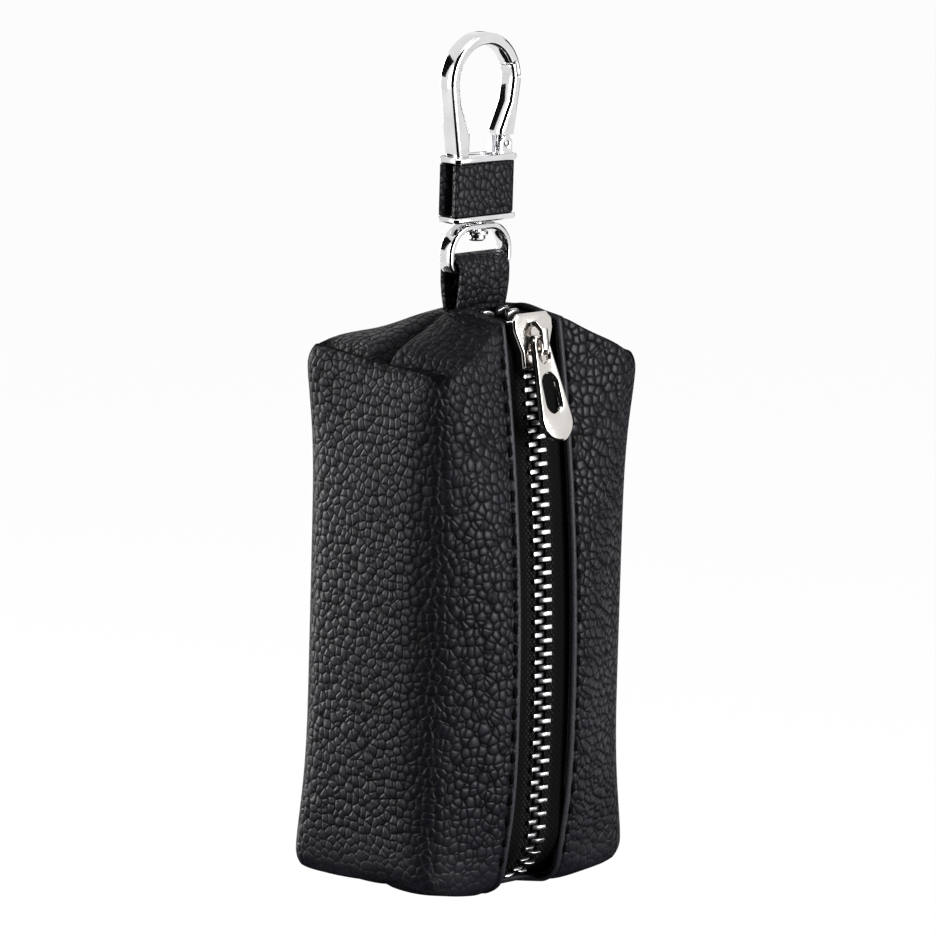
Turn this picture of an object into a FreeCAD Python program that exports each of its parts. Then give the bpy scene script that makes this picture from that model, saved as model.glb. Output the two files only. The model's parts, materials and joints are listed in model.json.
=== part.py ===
import FreeCAD, Part
import math
import os
import Sketcher

# Key case: a zipped leather pouch hanging from a swivel snap hook.
# Frame: millimetres, X to the right seen from the front, front towards -Y, Z up.
# The origin is the centre of the hook's eye, so drops are measured down from there.

doc = FreeCAD.newDocument("KeyCase")
sheet = doc.addObject("Spreadsheet::Sheet", "Sizes")

SIZES = (
    # hook and gate
    ("eye_radius", "5.5"),
    ("hook_band", "1.8"),
    ("hook_depth", "3.0"),
    ("hook_foot", "5.6"),
    ("leg_taper_angle", "9"),
    ("knee_in", "0.45"),
    ("knee_rise", "7.8"),
    ("neck_in", "2.4"),
    ("neck_rise", "3.5"),
    ("nose_wall", "0.85"),
    ("nose_angle", "3"),
    ("nose_step_angle", "25"),
    ("gate_gap", "0.18"),
    ("gate_end_angle", "0.3"),
    ("gate_top_angle", "22"),
    ("gate_root_depth", "1.7"),
    ("hook_round", "0.35"),
    ("pivot_in", "1.05"),
    ("pivot_height", "1.45"),
    ("pivot_round", "1.25"),
    ("pin_radius", "0.55"),
    ("run_gap", "0.06"),
    ("lug_round", "1.15"),
    ("lug_gap", "0.1"),
    ("leaf_thick", "0.2"),
    ("leaf_width", "1.4"),
    ("leaf_foot", "1.9"),
    ("leaf_rise", "2.7"),
    ("leaf_gap", "0.05"),
    # clasp
    ("plate_margin", "0.82"),
    ("plate_depth", "4.6"),
    ("plate_thick", "1.0"),
    ("plate_corner", "0.7"),
    ("lower_thick", "0.9"),
    ("plate_round", "0.25"),
    ("wrap_height", "8.0"),
    ("wrap_in", "0.15"),
    ("wrap_depth", "4.1"),
    ("core_in", "1.75"),
    ("core_depth", "1.3"),
    ("wrap_gap", "0.05"),
    ("wrap_recess", "1.6"),
    ("wrap_round", "1.2"),
    # swivel
    ("shank_radius", "1.0"),
    ("washer_radius", "1.8"),
    ("washer_thick", "0.6"),
    ("head_radius", "1.4"),
    ("head_thick", "0.9"),
    ("head_bevel", "0.25"),
    ("swivel_gap", "0.3"),
    ("ring_over", "0.097"),
    ("ring_height", "7.5"),
    ("ring_depth", "2.6"),
    ("ring_band", "1.1"),
    ("ring_top_round", "4.6"),
    ("ring_low_round", "2.0"),
    ("ring_edge", "0.3"),
    # hanger loop
    ("strap_leather", "1.0"),
    ("strap_side", "0.45"),
    ("bar_room", "1.5"),
    ("hanger_show", "4.45"),
    ("strap_tuck", "4.8"),
    ("seam_gap", "0.15"),
    # pouch
    ("case_height", "89.5"),
    ("case_width", "42"),
    ("case_depth", "26.4"),
    ("side_bulge", "1.2"),
    ("front_flat", "9.5"),
    ("plan_front", "17.95"),
    ("corner_round", "5.5"),
    ("plan_soft", "25"),
    ("side_bend", "88"),
    ("roof_slope_angle", "5"),
    ("base_slope_angle", "4"),
    ("ridge_round", "3"),
    ("top_bend", "2"),
    ("bottom_bend", "10"),
    ("keel_round", "8"),
    ("arc_lead", "2.6"),
    ("arc_end_rise", "10.5"),
    ("shoulder_fall", "8.6"),
    ("slope_half", "14"),
    ("slope_fall", "4.4"),
    ("crest_half", "6"),
    ("crest_fall", "0.2"),
    ("shoulder_round", "3.5"),
    ("slope_round", "14"),
    ("crest_round", "9"),
    ("foot_half", "12"),
    ("foot_rise", "2.9"),
    ("foot_round", "3"),
    ("belly_round", "15"),
    ("leather", "1.4"),
    ("lining_cloth", "0.5"),
    ("layer_gap", "0.05"),
    # zip
    ("zip_arc", "320"),
    ("arc_fall", "62.3"),
    ("zip_front", "16.1"),
    ("tape_thick", "0.6"),
    ("tape_edge", "1.12"),
    ("tape_half", "8.6"),
    ("zip_slot", "10.6"),
    ("lining_slot", "12.6"),
    ("zip_end", "3.2"),
    ("pitch", "2.05"),
    ("tooth_thick", "0.8"),
    ("tooth_half", "1.95"),
    ("tooth_height", "2.0"),
    ("tooth_head", "0.62"),
    ("tooth_slit", "0.38"),
    ("tooth_root", "1.05"),
    ("spread", "1.4"),
    # slider, measured from the middle of the chain
    ("slider_fall", "5.2"),
    ("slider_tail", "4.1"),
    ("slider_crown", "4.2"),
    ("slider_inner_crown", "2.0"),
    ("tail_half", "2.85"),
    ("crown_half", "4.05"),
    ("flare_low", "1.6"),
    ("flare_high", "1.6"),
    ("crown_cut", "0.95"),
    ("wing_gap", "1.35"),
    ("wing_thick", "0.9"),
    ("inner_wing_thick", "0.75"),
    ("flange_wall", "0.6"),
    ("flange_gap", "0.45"),
    ("neck_half_width", "0.6"),
    ("neck_tip", "0.9"),
    ("neck_wide", "1.8"),
    ("bridge_half", "0.55"),
    ("bridge_top", "2.9"),
    ("bridge_low", "2.3"),
    ("bridge_rise", "2.3"),
    ("bridge_bar", "0.8"),
    ("bridge_bevel", "0.8"),
    ("wing_round", "0.3"),
    # pull tab, measured from its cross bar
    ("tab_lift", "0.72"),
    ("tab_seat", "0.2"),
    ("tab_lean_angle", "9"),
    ("tab_thick", "1.1"),
    ("tab_head", "0.65"),
    ("tab_top_round", "1.75"),
    ("tab_flare_angle", "7.5"),
    ("tab_reach", "11.3"),
    ("eyelet_half", "1.02"),
    ("eyelet_start", "0.5"),
    ("eyelet_end", "3.7"),
    ("oval_half", "1.5"),
    ("oval_start", "5.4"),
    ("oval_end", "11.3"),
    ("tab_round", "0.3"),
    ("tab_bar_radius", "0.6"),
    ("tab_bar_length", "2.5"),
    # inside
    ("key_strap_width", "6"),
    ("key_strap_fall", "1.9"),
    ("key_strap_half", "1.4"),
    ("key_strap_slit", "0.4"),
    ("key_loop_fall", "14.3"),
    ("key_loop_room", "1.8"),
    ("key_loop_wall", "1.0"),
    ("cap_fall", "8.3"),
    ("cap_radius", "2.2"),
    ("cap_thick", "0.7"),
    ("cap_shank", "0.8"),
    ("key_ring_mean", "11.2"),
    ("key_wire_width", "1.6"),
    ("key_wire_depth", "2.0"),
    ("key_split", "0.12"),
    ("key_split_depth", "0.45"),
)

for row, (alias, amount) in enumerate(SIZES, start=1):
    sheet.set("A%d" % row, alias)
    sheet.set("B%d" % row, amount)
    sheet.setAlias("B%d" % row, alias)
doc.recompute()


class Size:
    """A value worked out from the sheet, with the expression that keeps it bound."""

    def __init__(self, value, text):
        self.value = value
        self.text = text

    def __float__(self):
        return self.value

    def __add__(self, other):
        other = as_size(other)
        return Size(self.value + other.value, "(%s + %s)" % (self.text, other.text))

    def __sub__(self, other):
        other = as_size(other)
        return Size(self.value - other.value, "(%s - %s)" % (self.text, other.text))

    def __mul__(self, other):
        other = as_size(other)
        return Size(self.value * other.value, "(%s * %s)" % (self.text, other.text))

    def __truediv__(self, other):
        other = as_size(other)
        return Size(self.value / other.value, "(%s / %s)" % (self.text, other.text))

    def __neg__(self):
        return Size(-self.value, "(0 - %s)" % self.text)


def as_size(thing):
    if isinstance(thing, Size):
        return thing
    return Size(float(thing), repr(thing))


def cosine(angle):
    return Size(math.cos(math.radians(angle.value)), "cos(%s)" % angle.text)


def sine(angle):
    return Size(math.sin(math.radians(angle.value)), "sin(%s)" % angle.text)


def tangent(angle):
    return Size(math.tan(math.radians(angle.value)), "tan(%s)" % angle.text)


def arcsine(ratio):
    return Size(math.degrees(math.asin(ratio.value)), "(asin(%s) / 1 deg)" % ratio.text)


class Sizes:
    def __getattr__(self, alias):
        return Size(float(sheet.get(alias)), "Sizes." + alias)


s = Sizes()
zero = Size(0.0, "0")
NODES = []

# shares of a size
cap_flat_share = 0.6
bridge_nose_share = 1.5
tooth_tip_share = 0.55
tooth_waist_share = 0.8
side_sweep_share = 4
clear_share = 3
steep_share = 0.45
ramp_share = 0.8


def bind(thing, **values):
    for prop, size in values.items():
        thing.setExpression(prop.replace("__", "."), as_size(size).text)


def set_place(thing, x, y, z, axis=None, angle=None):
    """Give a piece its Placement, bound to the sheet."""
    turn = FreeCAD.Rotation()
    if axis is not None:
        turn = FreeCAD.Rotation(axis, angle.value)
    thing.Placement = FreeCAD.Placement(FreeCAD.Vector(float(x), float(y), float(z)), turn)
    bind(thing, Placement__Base__x=x, Placement__Base__y=y, Placement__Base__z=z)
    if axis is not None:
        bind(thing, Placement__Rotation__Angle=angle)


def keep(thing, node):
    thing.Label = node
    NODES.append((node, thing))
    return thing


# sketches

def new_body(node):
    body = doc.addObject("PartDesign::Body", node)
    return keep(body, node)


def plane_of(body, role):
    for feature in body.Origin.OriginFeatures:
        if feature.Role == role:
            return feature
    raise RuntimeError("no plane " + role)


def arc_between(start, end, radius, side):
    """Arc of under half a circle; side is +1 to bulge left of the way from start to end."""
    middle = (start + end) * 0.5
    chord = end - start
    half = chord.Length * 0.5
    left = FreeCAD.Vector(-chord.y, chord.x, 0).normalize()
    rise = radius - math.sqrt(max(radius * radius - half * half, 0.0))
    top = middle + left * (side * rise)
    if side > 0:
        return Part.Arc(end, top, start)
    return Part.Arc(start, top, end)


def pin_coordinate(sketch, kind, geo, pos, size):
    """Tie one coordinate of a point to the sheet."""
    if abs(size.value) < 1e-9:
        line = -2 if kind == "DistanceX" else -1
        sketch.addConstraint(Sketcher.Constraint("PointOnObject", geo, pos, line))
        return
    if size.value > 0:
        rule = Sketcher.Constraint(kind, -1, 1, geo, pos, size.value)
        text = size.text
    else:
        rule = Sketcher.Constraint(kind, geo, pos, -1, 1, -size.value)
        text = (-size).text
    index = sketch.addConstraint(rule)
    sketch.setExpression("Constraints[%d]" % index, text)


def add_loop(sketch, corners):
    """A closed outline: each corner is (x, y) or (x, y, radius, side), the arc leading on."""
    points = [FreeCAD.Vector(float(c[0]), float(c[1]), 0) for c in corners]
    count = len(corners)
    ids = []
    for i, corner in enumerate(corners):
        start = points[i]
        end = points[(i + 1) % count]
        if len(corner) == 2:
            ids.append(sketch.addGeometry(Part.LineSegment(start, end)))
        else:
            ids.append(sketch.addGeometry(arc_between(start, end, float(corner[2]), corner[3])))
    ends = []
    for i, corner in enumerate(corners):
        curve = sketch.Geometry[ids[i]]
        forward = (curve.StartPoint - points[i]).Length < (curve.EndPoint - points[i]).Length
        ends.append((1, 2) if forward else (2, 1))
    for i in range(count):
        after = (i + 1) % count
        rule = Sketcher.Constraint("Coincident", ids[i], ends[i][1], ids[after], ends[after][0])
        sketch.addConstraint(rule)
    for i, corner in enumerate(corners):
        pin_coordinate(sketch, "DistanceX", ids[i], ends[i][0], corner[0])
        pin_coordinate(sketch, "DistanceY", ids[i], ends[i][0], corner[1])
    for i, corner in enumerate(corners):
        if len(corner) > 2:
            radius = sketch.Geometry[ids[i]].Radius
            index = sketch.addConstraint(Sketcher.Constraint("Radius", ids[i], radius))
            sketch.setExpression("Constraints[%d]" % index, corner[2].text)


def add_circle(sketch, x, y, radius):
    centre = FreeCAD.Vector(float(x), float(y), 0)
    circle = Part.Circle(centre, FreeCAD.Vector(0, 0, 1), float(radius))
    geo = sketch.addGeometry(circle)
    pin_coordinate(sketch, "DistanceX", geo, 3, x)
    pin_coordinate(sketch, "DistanceY", geo, 3, y)
    index = sketch.addConstraint(Sketcher.Constraint("Radius", geo, float(radius)))
    sketch.setExpression("Constraints[%d]" % index, radius.text)


def new_sketch(body, name, role, loops=(), circles=(), lift=None):
    sketch = body.newObject("Sketcher::SketchObject", name)
    sketch.AttachmentSupport = [(plane_of(body, role), "")]
    sketch.MapMode = "FlatFace"
    if lift is not None:
        sketch.AttachmentOffset = FreeCAD.Placement(
            FreeCAD.Vector(0, 0, float(lift)), FreeCAD.Rotation())
        bind(sketch, AttachmentOffset__Base__z=lift)
    for corners in loops:
        add_loop(sketch, corners)
    for x, y, radius in circles:
        add_circle(sketch, x, y, radius)
    doc.recompute()
    return sketch


def pad(body, sketch, length, both=False):
    feature = body.newObject("PartDesign::Pad", sketch.Name + "_pad")
    feature.Profile = sketch
    if both:
        feature.SideType = "Symmetric"
    bind(feature, Length=length)
    body.Tip = feature
    doc.recompute()
    return feature


def pocket(body, sketch, length, both=False):
    feature = body.newObject("PartDesign::Pocket", sketch.Name + "_cut")
    feature.Profile = sketch
    if both:
        feature.SideType = "Symmetric"
    bind(feature, Length=length)
    body.Tip = feature
    doc.recompute()
    return feature


def revolve(body, sketch):
    feature = body.newObject("PartDesign::Revolution", sketch.Name + "_turn")
    feature.Profile = sketch
    feature.ReferenceAxis = (sketch, ["V_Axis"])
    feature.Angle = 360
    body.Tip = feature
    doc.recompute()
    return feature


def soften(body, width, wanted):
    """Break the edges of the body that the test picks out."""
    base = body.Tip
    names = []
    for i, edge in enumerate(base.Shape.Edges, start=1):
        if wanted(edge):
            names.append("Edge%d" % i)
    feature = body.newObject("PartDesign::Chamfer", body.Name + "_edge")
    feature.Base = (base, names)
    bind(feature, Size=width)
    body.Tip = feature
    doc.recompute()
    return feature


def lies_at(edge, axis, places):
    """True for an edge that lies whole in one of the planes."""
    box = edge.BoundBox
    low = {"x": box.XMin, "y": box.YMin, "z": box.ZMin}[axis]
    high = {"x": box.XMax, "y": box.YMax, "z": box.ZMax}[axis]
    return any(abs(low - p) < 1e-4 and abs(high - p) < 1e-4 for p in places)


# hook: one casting, left leg, arc and stepped nose

outer = s.eye_radius + s.hook_band
nose_inner = outer - s.nose_wall
hook_rise = s.eye_radius + s.hook_foot
knee_half = s.eye_radius - s.knee_in
knee_drop = hook_rise - s.knee_rise
neck_half = s.eye_radius - s.neck_in
neck_drop = hook_rise - s.neck_rise
pivot_half = s.eye_radius - s.pivot_in
leg_cos = cosine(s.leg_taper_angle)
leg_sin = sine(s.leg_taper_angle)
leg_tan = tangent(s.leg_taper_angle)


def leg_outer(drop):
    """Half width of the hook's outline at a drop below the eye."""
    return outer * leg_cos - (drop - outer * leg_sin) * leg_tan


plate_width = (leg_outer(hook_rise) + s.plate_margin) * 2
wrap_width = plate_width - s.wrap_in * 2
core_width = plate_width - s.core_in * 2


hook = new_body("hook")
nose_cos = cosine(s.nose_angle)
nose_sin = sine(s.nose_angle)
step_cos = cosine(s.nose_step_angle)
step_sin = sine(s.nose_step_angle)
hook_sketch = new_sketch(hook, "hook_outline", "XZ_Plane", [[
    (-leg_outer(hook_rise), -hook_rise),
    (-(outer * leg_cos), -(outer * leg_sin), outer, 1),
    (zero, outer, outer, 1),
    (outer * nose_cos, outer * nose_sin),
    (nose_inner * nose_cos, nose_inner * nose_sin, nose_inner, -1),
    (nose_inner * step_cos, nose_inner * step_sin),
    (s.eye_radius * step_cos, s.eye_radius * step_sin, s.eye_radius, -1),
    (-(s.eye_radius * leg_cos), -(s.eye_radius * leg_sin)),
    (-knee_half, -knee_drop),
    (-neck_half, -neck_drop),
    (-neck_half, -hook_rise),
]])
pad(hook, hook_sketch, s.hook_depth, True)
hook_faces = (s.hook_depth.value / 2, -s.hook_depth.value / 2)
soften(hook, s.hook_round, lambda e: lies_at(e, "y", hook_faces)
       and e.BoundBox.ZMax > -float(hook_rise) + 1e-3
       and not (e.BoundBox.XMin > float(neck_half) and e.BoundBox.ZMax < float(outer) / 2))
set_place(hook, zero, zero, zero)

# gate: closes the right side, its root narrowed to sit between the lugs

gate = new_body("gate")
gate_tip = nose_inner - s.gate_gap
pivot_drop = hook_rise - s.pivot_height
root_drop = pivot_drop - s.pivot_round - s.lug_gap
end_cos = cosine(s.gate_end_angle)
end_sin = sine(s.gate_end_angle)
top_cos = cosine(s.gate_top_angle)
top_sin = sine(s.gate_top_angle)
gate_sketch = new_sketch(gate, "gate_outline", "XZ_Plane", [[
    (leg_outer(root_drop), -root_drop),
    (outer * leg_cos, -(outer * leg_sin), outer, -1),
    (outer * end_cos, outer * end_sin),
    (gate_tip * end_cos, gate_tip * end_sin, gate_tip, -1),
    (gate_tip * top_cos, gate_tip * top_sin),
    (s.eye_radius * top_cos, s.eye_radius * top_sin, s.eye_radius, 1),
    (s.eye_radius * leg_cos, -(s.eye_radius * leg_sin)),
    (knee_half, -knee_drop),
    (neck_half, -neck_drop),
    (neck_half, -root_drop),
]])
pad(gate, gate_sketch, s.hook_depth, True)
soften(gate, s.hook_round, lambda e: lies_at(e, "y", hook_faces)
       and e.BoundBox.ZMax > -float(root_drop) + 1e-3
       and e.BoundBox.ZMin < -float(s.gate_gap))
root_sketch = new_sketch(gate, "gate_root", "XZ_Plane", [[
    (pivot_half - s.pivot_round, -root_drop),
    (pivot_half - s.pivot_round, -pivot_drop, s.pivot_round, -1),
    (pivot_half, -(pivot_drop + s.pivot_round), s.pivot_round, -1),
    (pivot_half + s.pivot_round, -pivot_drop),
    (pivot_half + s.pivot_round, -root_drop),
]], [(pivot_half, -pivot_drop, s.pin_radius + s.run_gap)])
pad(gate, root_sketch, s.gate_root_depth, True)
set_place(gate, zero, zero, zero)

# gate pin, held in the lugs

pin = doc.addObject("Part::Cylinder", "gate_pin")
keep(pin, "gate_pin")
bind(pin, Radius=s.pin_radius, Height=s.hook_depth)
set_place(pin, pivot_half, s.hook_depth / 2, -pivot_drop,
          FreeCAD.Vector(1, 0, 0), Size(90.0, "90"))

# leaf spring: foot on the plate, blade against the gate

leaf = new_body("gate_spring")
blade = neck_half - s.leaf_gap
leaf_sketch = new_sketch(leaf, "leaf_outline", "XZ_Plane", [[
    (blade - s.leaf_foot, -hook_rise),
    (blade, -hook_rise),
    (blade, -(hook_rise - s.leaf_rise)),
    (blade - s.leaf_thick, -(hook_rise - s.leaf_rise)),
    (blade - s.leaf_thick, -(hook_rise - s.leaf_thick)),
    (blade - s.leaf_foot, -(hook_rise - s.leaf_thick)),
]])
pad(leaf, leaf_sketch, s.leaf_width, True)
set_place(leaf, zero, zero, zero)


# clasp plates

def plate_loop():
    """Rectangle with clipped corners, in plan."""
    wide = plate_width / 2
    deep = s.plate_depth / 2
    cut = s.plate_corner
    return [
        (-(wide - cut), -deep),
        (wide - cut, -deep),
        (wide, -(deep - cut)),
        (wide, deep - cut),
        (wide - cut, deep),
        (-(wide - cut), deep),
        (-wide, deep - cut),
        (-wide, -(deep - cut)),
    ]


upper_low = hook_rise + s.plate_thick
lower_top = upper_low + s.wrap_height
lower_low = lower_top + s.lower_thick

upper = new_body("upper_plate")
upper_sketch = new_sketch(upper, "upper_outline", "XY_Plane", [plate_loop()], (), -upper_low)
pad(upper, upper_sketch, s.plate_thick)
upper_faces = (-float(hook_rise), -float(upper_low))
soften(upper, s.plate_round, lambda e: lies_at(e, "z", upper_faces))
lug_sketch = new_sketch(upper, "lug_outline", "XZ_Plane", [[
    (pivot_half - s.lug_round, -(hook_rise + s.plate_round)),
    (pivot_half + s.lug_round, -(hook_rise + s.plate_round)),
    (pivot_half + s.lug_round, -pivot_drop, s.lug_round, -1),
    (pivot_half, -(pivot_drop - s.lug_round), s.lug_round, -1),
    (pivot_half - s.lug_round, -pivot_drop),
]], [(pivot_half, -pivot_drop, s.pin_radius)])
pad(upper, lug_sketch, s.hook_depth, True)
lug_room = new_sketch(upper, "lug_room", "XZ_Plane", [[
    (pivot_half - s.lug_round * 2, -hook_rise),
    (pivot_half + s.lug_round * 2, -hook_rise),
    (pivot_half + s.lug_round * 2, -(pivot_drop - s.lug_round * 2)),
    (pivot_half - s.lug_round * 2, -(pivot_drop - s.lug_round * 2)),
]])
pocket(upper, lug_room, s.gate_root_depth + s.lug_gap * 2, True)
set_place(upper, zero, zero, zero)

lower = new_body("lower_plate")
lower_sketch = new_sketch(lower, "lower_outline", "XY_Plane", [plate_loop()],
                          [(zero, zero, s.shank_radius)], -lower_low)
pad(lower, lower_sketch, s.lower_thick)
lower_faces = (-float(lower_top), -float(lower_low))
soften(lower, s.plate_round, lambda e: lies_at(e, "z", lower_faces)
       and e.BoundBox.DiagonalLength > float(s.plate_corner) / 2
       and max(abs(e.BoundBox.XMin), abs(e.BoundBox.YMin)) > float(s.washer_radius))
set_place(lower, zero, zero, zero)

# web between the plates, and the leather strip folded round it, open on the left

core = doc.addObject("Part::Box", "clasp_core")
keep(core, "clasp_core")
bind(core, Length=core_width, Width=s.core_depth, Height=s.wrap_height)
set_place(core, -(core_width / 2), -(s.core_depth / 2), -lower_top)

wrap_block = doc.addObject("Part::Box", "wrap_block")
bind(wrap_block, Length=wrap_width, Width=s.wrap_depth, Height=s.wrap_height)
set_place(wrap_block, -(wrap_width / 2), -(s.wrap_depth / 2), -lower_top)
doc.recompute()
wrap_soft = doc.addObject("Part::Fillet", "wrap_soft")
wrap_soft.Base = wrap_block
wrap_edges = []
for number, edge in enumerate(wrap_block.Shape.Edges, start=1):
    upright = edge.BoundBox.ZLength > float(s.wrap_height) / 2
    if upright and edge.BoundBox.XMin > 0:
        wrap_edges.append((number, float(s.wrap_round), float(s.wrap_round)))
wrap_soft.Edges = wrap_edges
wrap_room = doc.addObject("Part::Box", "wrap_room")
bind(wrap_room, Length=wrap_width / 2 + core_width / 2 + s.wrap_gap + s.wrap_recess,
     Width=s.core_depth + s.wrap_gap * 2, Height=s.wrap_height * 2)
set_place(wrap_room, -(wrap_width / 2 + s.wrap_recess), -(s.core_depth / 2 + s.wrap_gap),
          -(lower_top + s.wrap_height / 2))
wrap = doc.addObject("Part::Cut", "leather_wrap")
wrap.Base = wrap_soft
wrap.Tool = wrap_room
keep(wrap, "leather_wrap")

# swivel rivet, washer and ring

ring_top = lower_low + s.swivel_gap
ring_inner_top = ring_top + s.ring_band
washer_top = ring_inner_top + s.swivel_gap / 2
head_top = washer_top + s.washer_thick
head_low = head_top + s.head_thick

rivet = new_body("swivel_rivet")
rivet_sketch = new_sketch(rivet, "rivet_profile", "XZ_Plane", [[
    (zero, -lower_top),
    (zero, -head_low),
    (s.head_radius - s.head_bevel, -head_low),
    (s.head_radius, -(head_low - s.head_bevel)),
    (s.head_radius, -head_top),
    (s.shank_radius, -head_top),
    (s.shank_radius, -lower_top),
]])
revolve(rivet, rivet_sketch)
set_place(rivet, zero, zero, zero)

washer = new_body("swivel_washer")
washer_sketch = new_sketch(washer, "washer_outline", "XY_Plane", [],
                           [(zero, zero, s.washer_radius), (zero, zero, s.shank_radius)],
                           -head_top)
pad(washer, washer_sketch, s.washer_thick)
set_place(washer, zero, zero, zero)

ring = new_body("swivel_ring")
ring_half = plate_width / 2 + s.ring_over
ring_low = ring_top + s.ring_height
bar_drop = ring_low - s.ring_band / 2


def ring_loop(inset):
    """Flat-topped D outline, shrunk by the inset."""
    wide = ring_half - inset
    top = ring_top + inset
    low = ring_low - inset
    big = s.ring_top_round - inset
    small = s.ring_low_round - inset
    return [
        (-(wide - small), -low),
        (wide - small, -low, small, -1),
        (wide, -(low - small)),
        (wide, -(top + big), big, -1),
        (wide - big, -top),
        (-(wide - big), -top, big, -1),
        (-wide, -(top + big)),
        (-wide, -(low - small), small, -1),
    ]


ring_sketch = new_sketch(ring, "ring_outline", "XZ_Plane", [ring_loop(zero), ring_loop(s.ring_band)])
pad(ring, ring_sketch, s.ring_depth, True)
ring_faces = (s.ring_depth.value / 2, -s.ring_depth.value / 2)
soften(ring, s.ring_edge, lambda e: lies_at(e, "y", ring_faces))
ring_bore = new_sketch(ring, "ring_bore", "XY_Plane", [],
                       [(zero, zero, s.shank_radius + s.run_gap)], -ring_top)
pocket(ring, ring_bore, s.ring_band * 2, True)
set_place(ring, zero, zero, zero)

# hanger loop: a leather strip over the bar of the ring, both ends in the top seam

strap_width = (ring_half - s.ring_band - s.strap_side) * 2
strap_depth = s.bar_room * 2 + s.strap_leather * 2
roof_drop = bar_drop + s.hanger_show
strap_end_drop = roof_drop + s.strap_tuck
key_strap_drop = roof_drop + s.key_strap_fall
key_loop_drop = roof_drop + s.key_loop_fall
cap_drop = roof_drop + s.cap_fall
slider_drop = roof_drop + s.slider_fall
arc_drop = roof_drop + s.arc_fall
arc_top_drop = slider_drop - s.arc_lead
shoulder_drop = roof_drop + s.shoulder_fall
slope_drop = roof_drop + s.slope_fall
crest_drop = roof_drop + s.crest_fall
side_on = FreeCAD.Vector(0, 1, 0)
quarter = Size(90.0, "90")


def lying_cylinder(name, radius, length, drop):
    bar = doc.addObject("Part::Cylinder", name)
    bind(bar, Radius=radius, Height=length)
    set_place(bar, -(length / 2), zero, -drop, side_on, quarter)
    return bar


def upright_box(name, wide, deep, top, low):
    box = doc.addObject("Part::Box", name)
    bind(box, Length=wide, Width=deep, Height=low - top)
    set_place(box, -(wide / 2), -(deep / 2), -low)
    return box


def joined(name, first, second, kind="Part::Fuse"):
    result = doc.addObject(kind, name)
    result.Base = first
    result.Tool = second
    return result


loop_skin = joined("loop_skin",
                   lying_cylinder("loop_round", s.bar_room + s.strap_leather, strap_width, bar_drop),
                   upright_box("loop_legs", strap_width, strap_depth, bar_drop, strap_end_drop))
loop_space = joined("loop_space",
                    lying_cylinder("loop_eye", s.bar_room, strap_width * 2, bar_drop),
                    upright_box("loop_gap", strap_width * 2, s.bar_room * 2, bar_drop,
                                strap_end_drop * 2))
keep(joined("hanger_loop", loop_skin, loop_space, "Part::Cut"), "hanger_loop")

# inner strap with its loop for the split ring

loop_radius = s.key_loop_room + s.key_loop_wall
strap_skin = joined("strap_skin",
                    lying_cylinder("strap_round", loop_radius, s.key_strap_width, key_loop_drop),
                    upright_box("strap_legs", s.key_strap_width, s.key_strap_half * 2,
                                key_strap_drop, key_loop_drop))
strap_space = joined("strap_space",
                     lying_cylinder("strap_eye", s.key_loop_room, s.key_strap_width * 2,
                                    key_loop_drop),
                     upright_box("strap_gap", s.key_strap_width * 2, s.key_strap_slit * 2,
                                 key_strap_drop / 2, key_loop_drop))
strap_folded = joined("strap_folded", strap_skin, strap_space, "Part::Cut")
cap_hole = doc.addObject("Part::Cylinder", "cap_hole")
bind(cap_hole, Radius=s.cap_shank + s.run_gap, Height=key_loop_drop)
set_place(cap_hole, zero, key_loop_drop / 2, -cap_drop, FreeCAD.Vector(1, 0, 0), quarter)
keep(joined("key_strap", strap_folded, cap_hole, "Part::Cut"), "key_strap")

cap = new_body("strap_rivet")
cap_face = s.key_strap_half
cap_edge = s.key_strap_half + s.cap_thick
cap_sketch = new_sketch(cap, "cap_profile", "XY_Plane", [[
    (zero, -cap_edge),
    (s.cap_radius * cap_flat_share, -cap_edge),
    (s.cap_radius, -(cap_face + s.cap_thick / 2)),
    (s.cap_radius, -cap_face),
    (s.cap_shank, -cap_face),
    (s.cap_shank, cap_face),
    (s.cap_radius, cap_face),
    (s.cap_radius, cap_face + s.cap_thick / 2),
    (s.cap_radius * cap_flat_share, cap_edge),
    (zero, cap_edge),
]])
revolve(cap, cap_sketch)
set_place(cap, zero, zero, -cap_drop)

# split ring: flat wire wound twice, shown by its parting groove

key_ring = new_body("key_ring")
wire_out = s.key_ring_mean + s.key_wire_width / 2
wire_in = s.key_ring_mean - s.key_wire_width / 2
wire_deep = s.key_wire_depth / 2
wire_sketch = new_sketch(key_ring, "wire_profile", "XY_Plane", [[
    (wire_in, -wire_deep),
    (wire_out, -wire_deep),
    (wire_out, -(s.key_split / 2)),
    (wire_out - s.key_split_depth, -(s.key_split / 2)),
    (wire_out - s.key_split_depth, s.key_split / 2),
    (wire_out, s.key_split / 2),
    (wire_out, wire_deep),
    (wire_in, wire_deep),
]])
revolve(key_ring, wire_sketch)
set_place(key_ring, zero, zero, -(key_loop_drop + s.key_ring_mean))

# slider, made about the middle of the chain with its outside towards -Y

slider = new_body("slider")


def wing_loop(top):
    """Shield outline of a wing, seen from the front, up to the given top."""
    return [
        (-s.tail_half, -s.slider_tail),
        (s.tail_half, -s.slider_tail),
        (s.tail_half, -s.flare_low),
        (s.crown_half, s.flare_high),
        (s.crown_half, top - s.crown_cut),
        (s.crown_half - s.crown_cut, top),
        (-(s.crown_half - s.crown_cut), top),
        (-s.crown_half, top - s.crown_cut),
        (-s.crown_half, s.flare_high),
        (-s.tail_half, -s.flare_low),
    ]


def inner_wing_loop():
    return [
        (-s.tail_half, -s.slider_tail),
        (s.tail_half, -s.slider_tail),
        (s.tail_half, -s.flare_low),
        (s.crown_half, s.flare_high),
        (s.crown_half, s.slider_inner_crown),
        (-s.crown_half, s.slider_inner_crown),
        (-s.crown_half, s.flare_high),
        (-s.tail_half, -s.flare_low),
    ]


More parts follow.
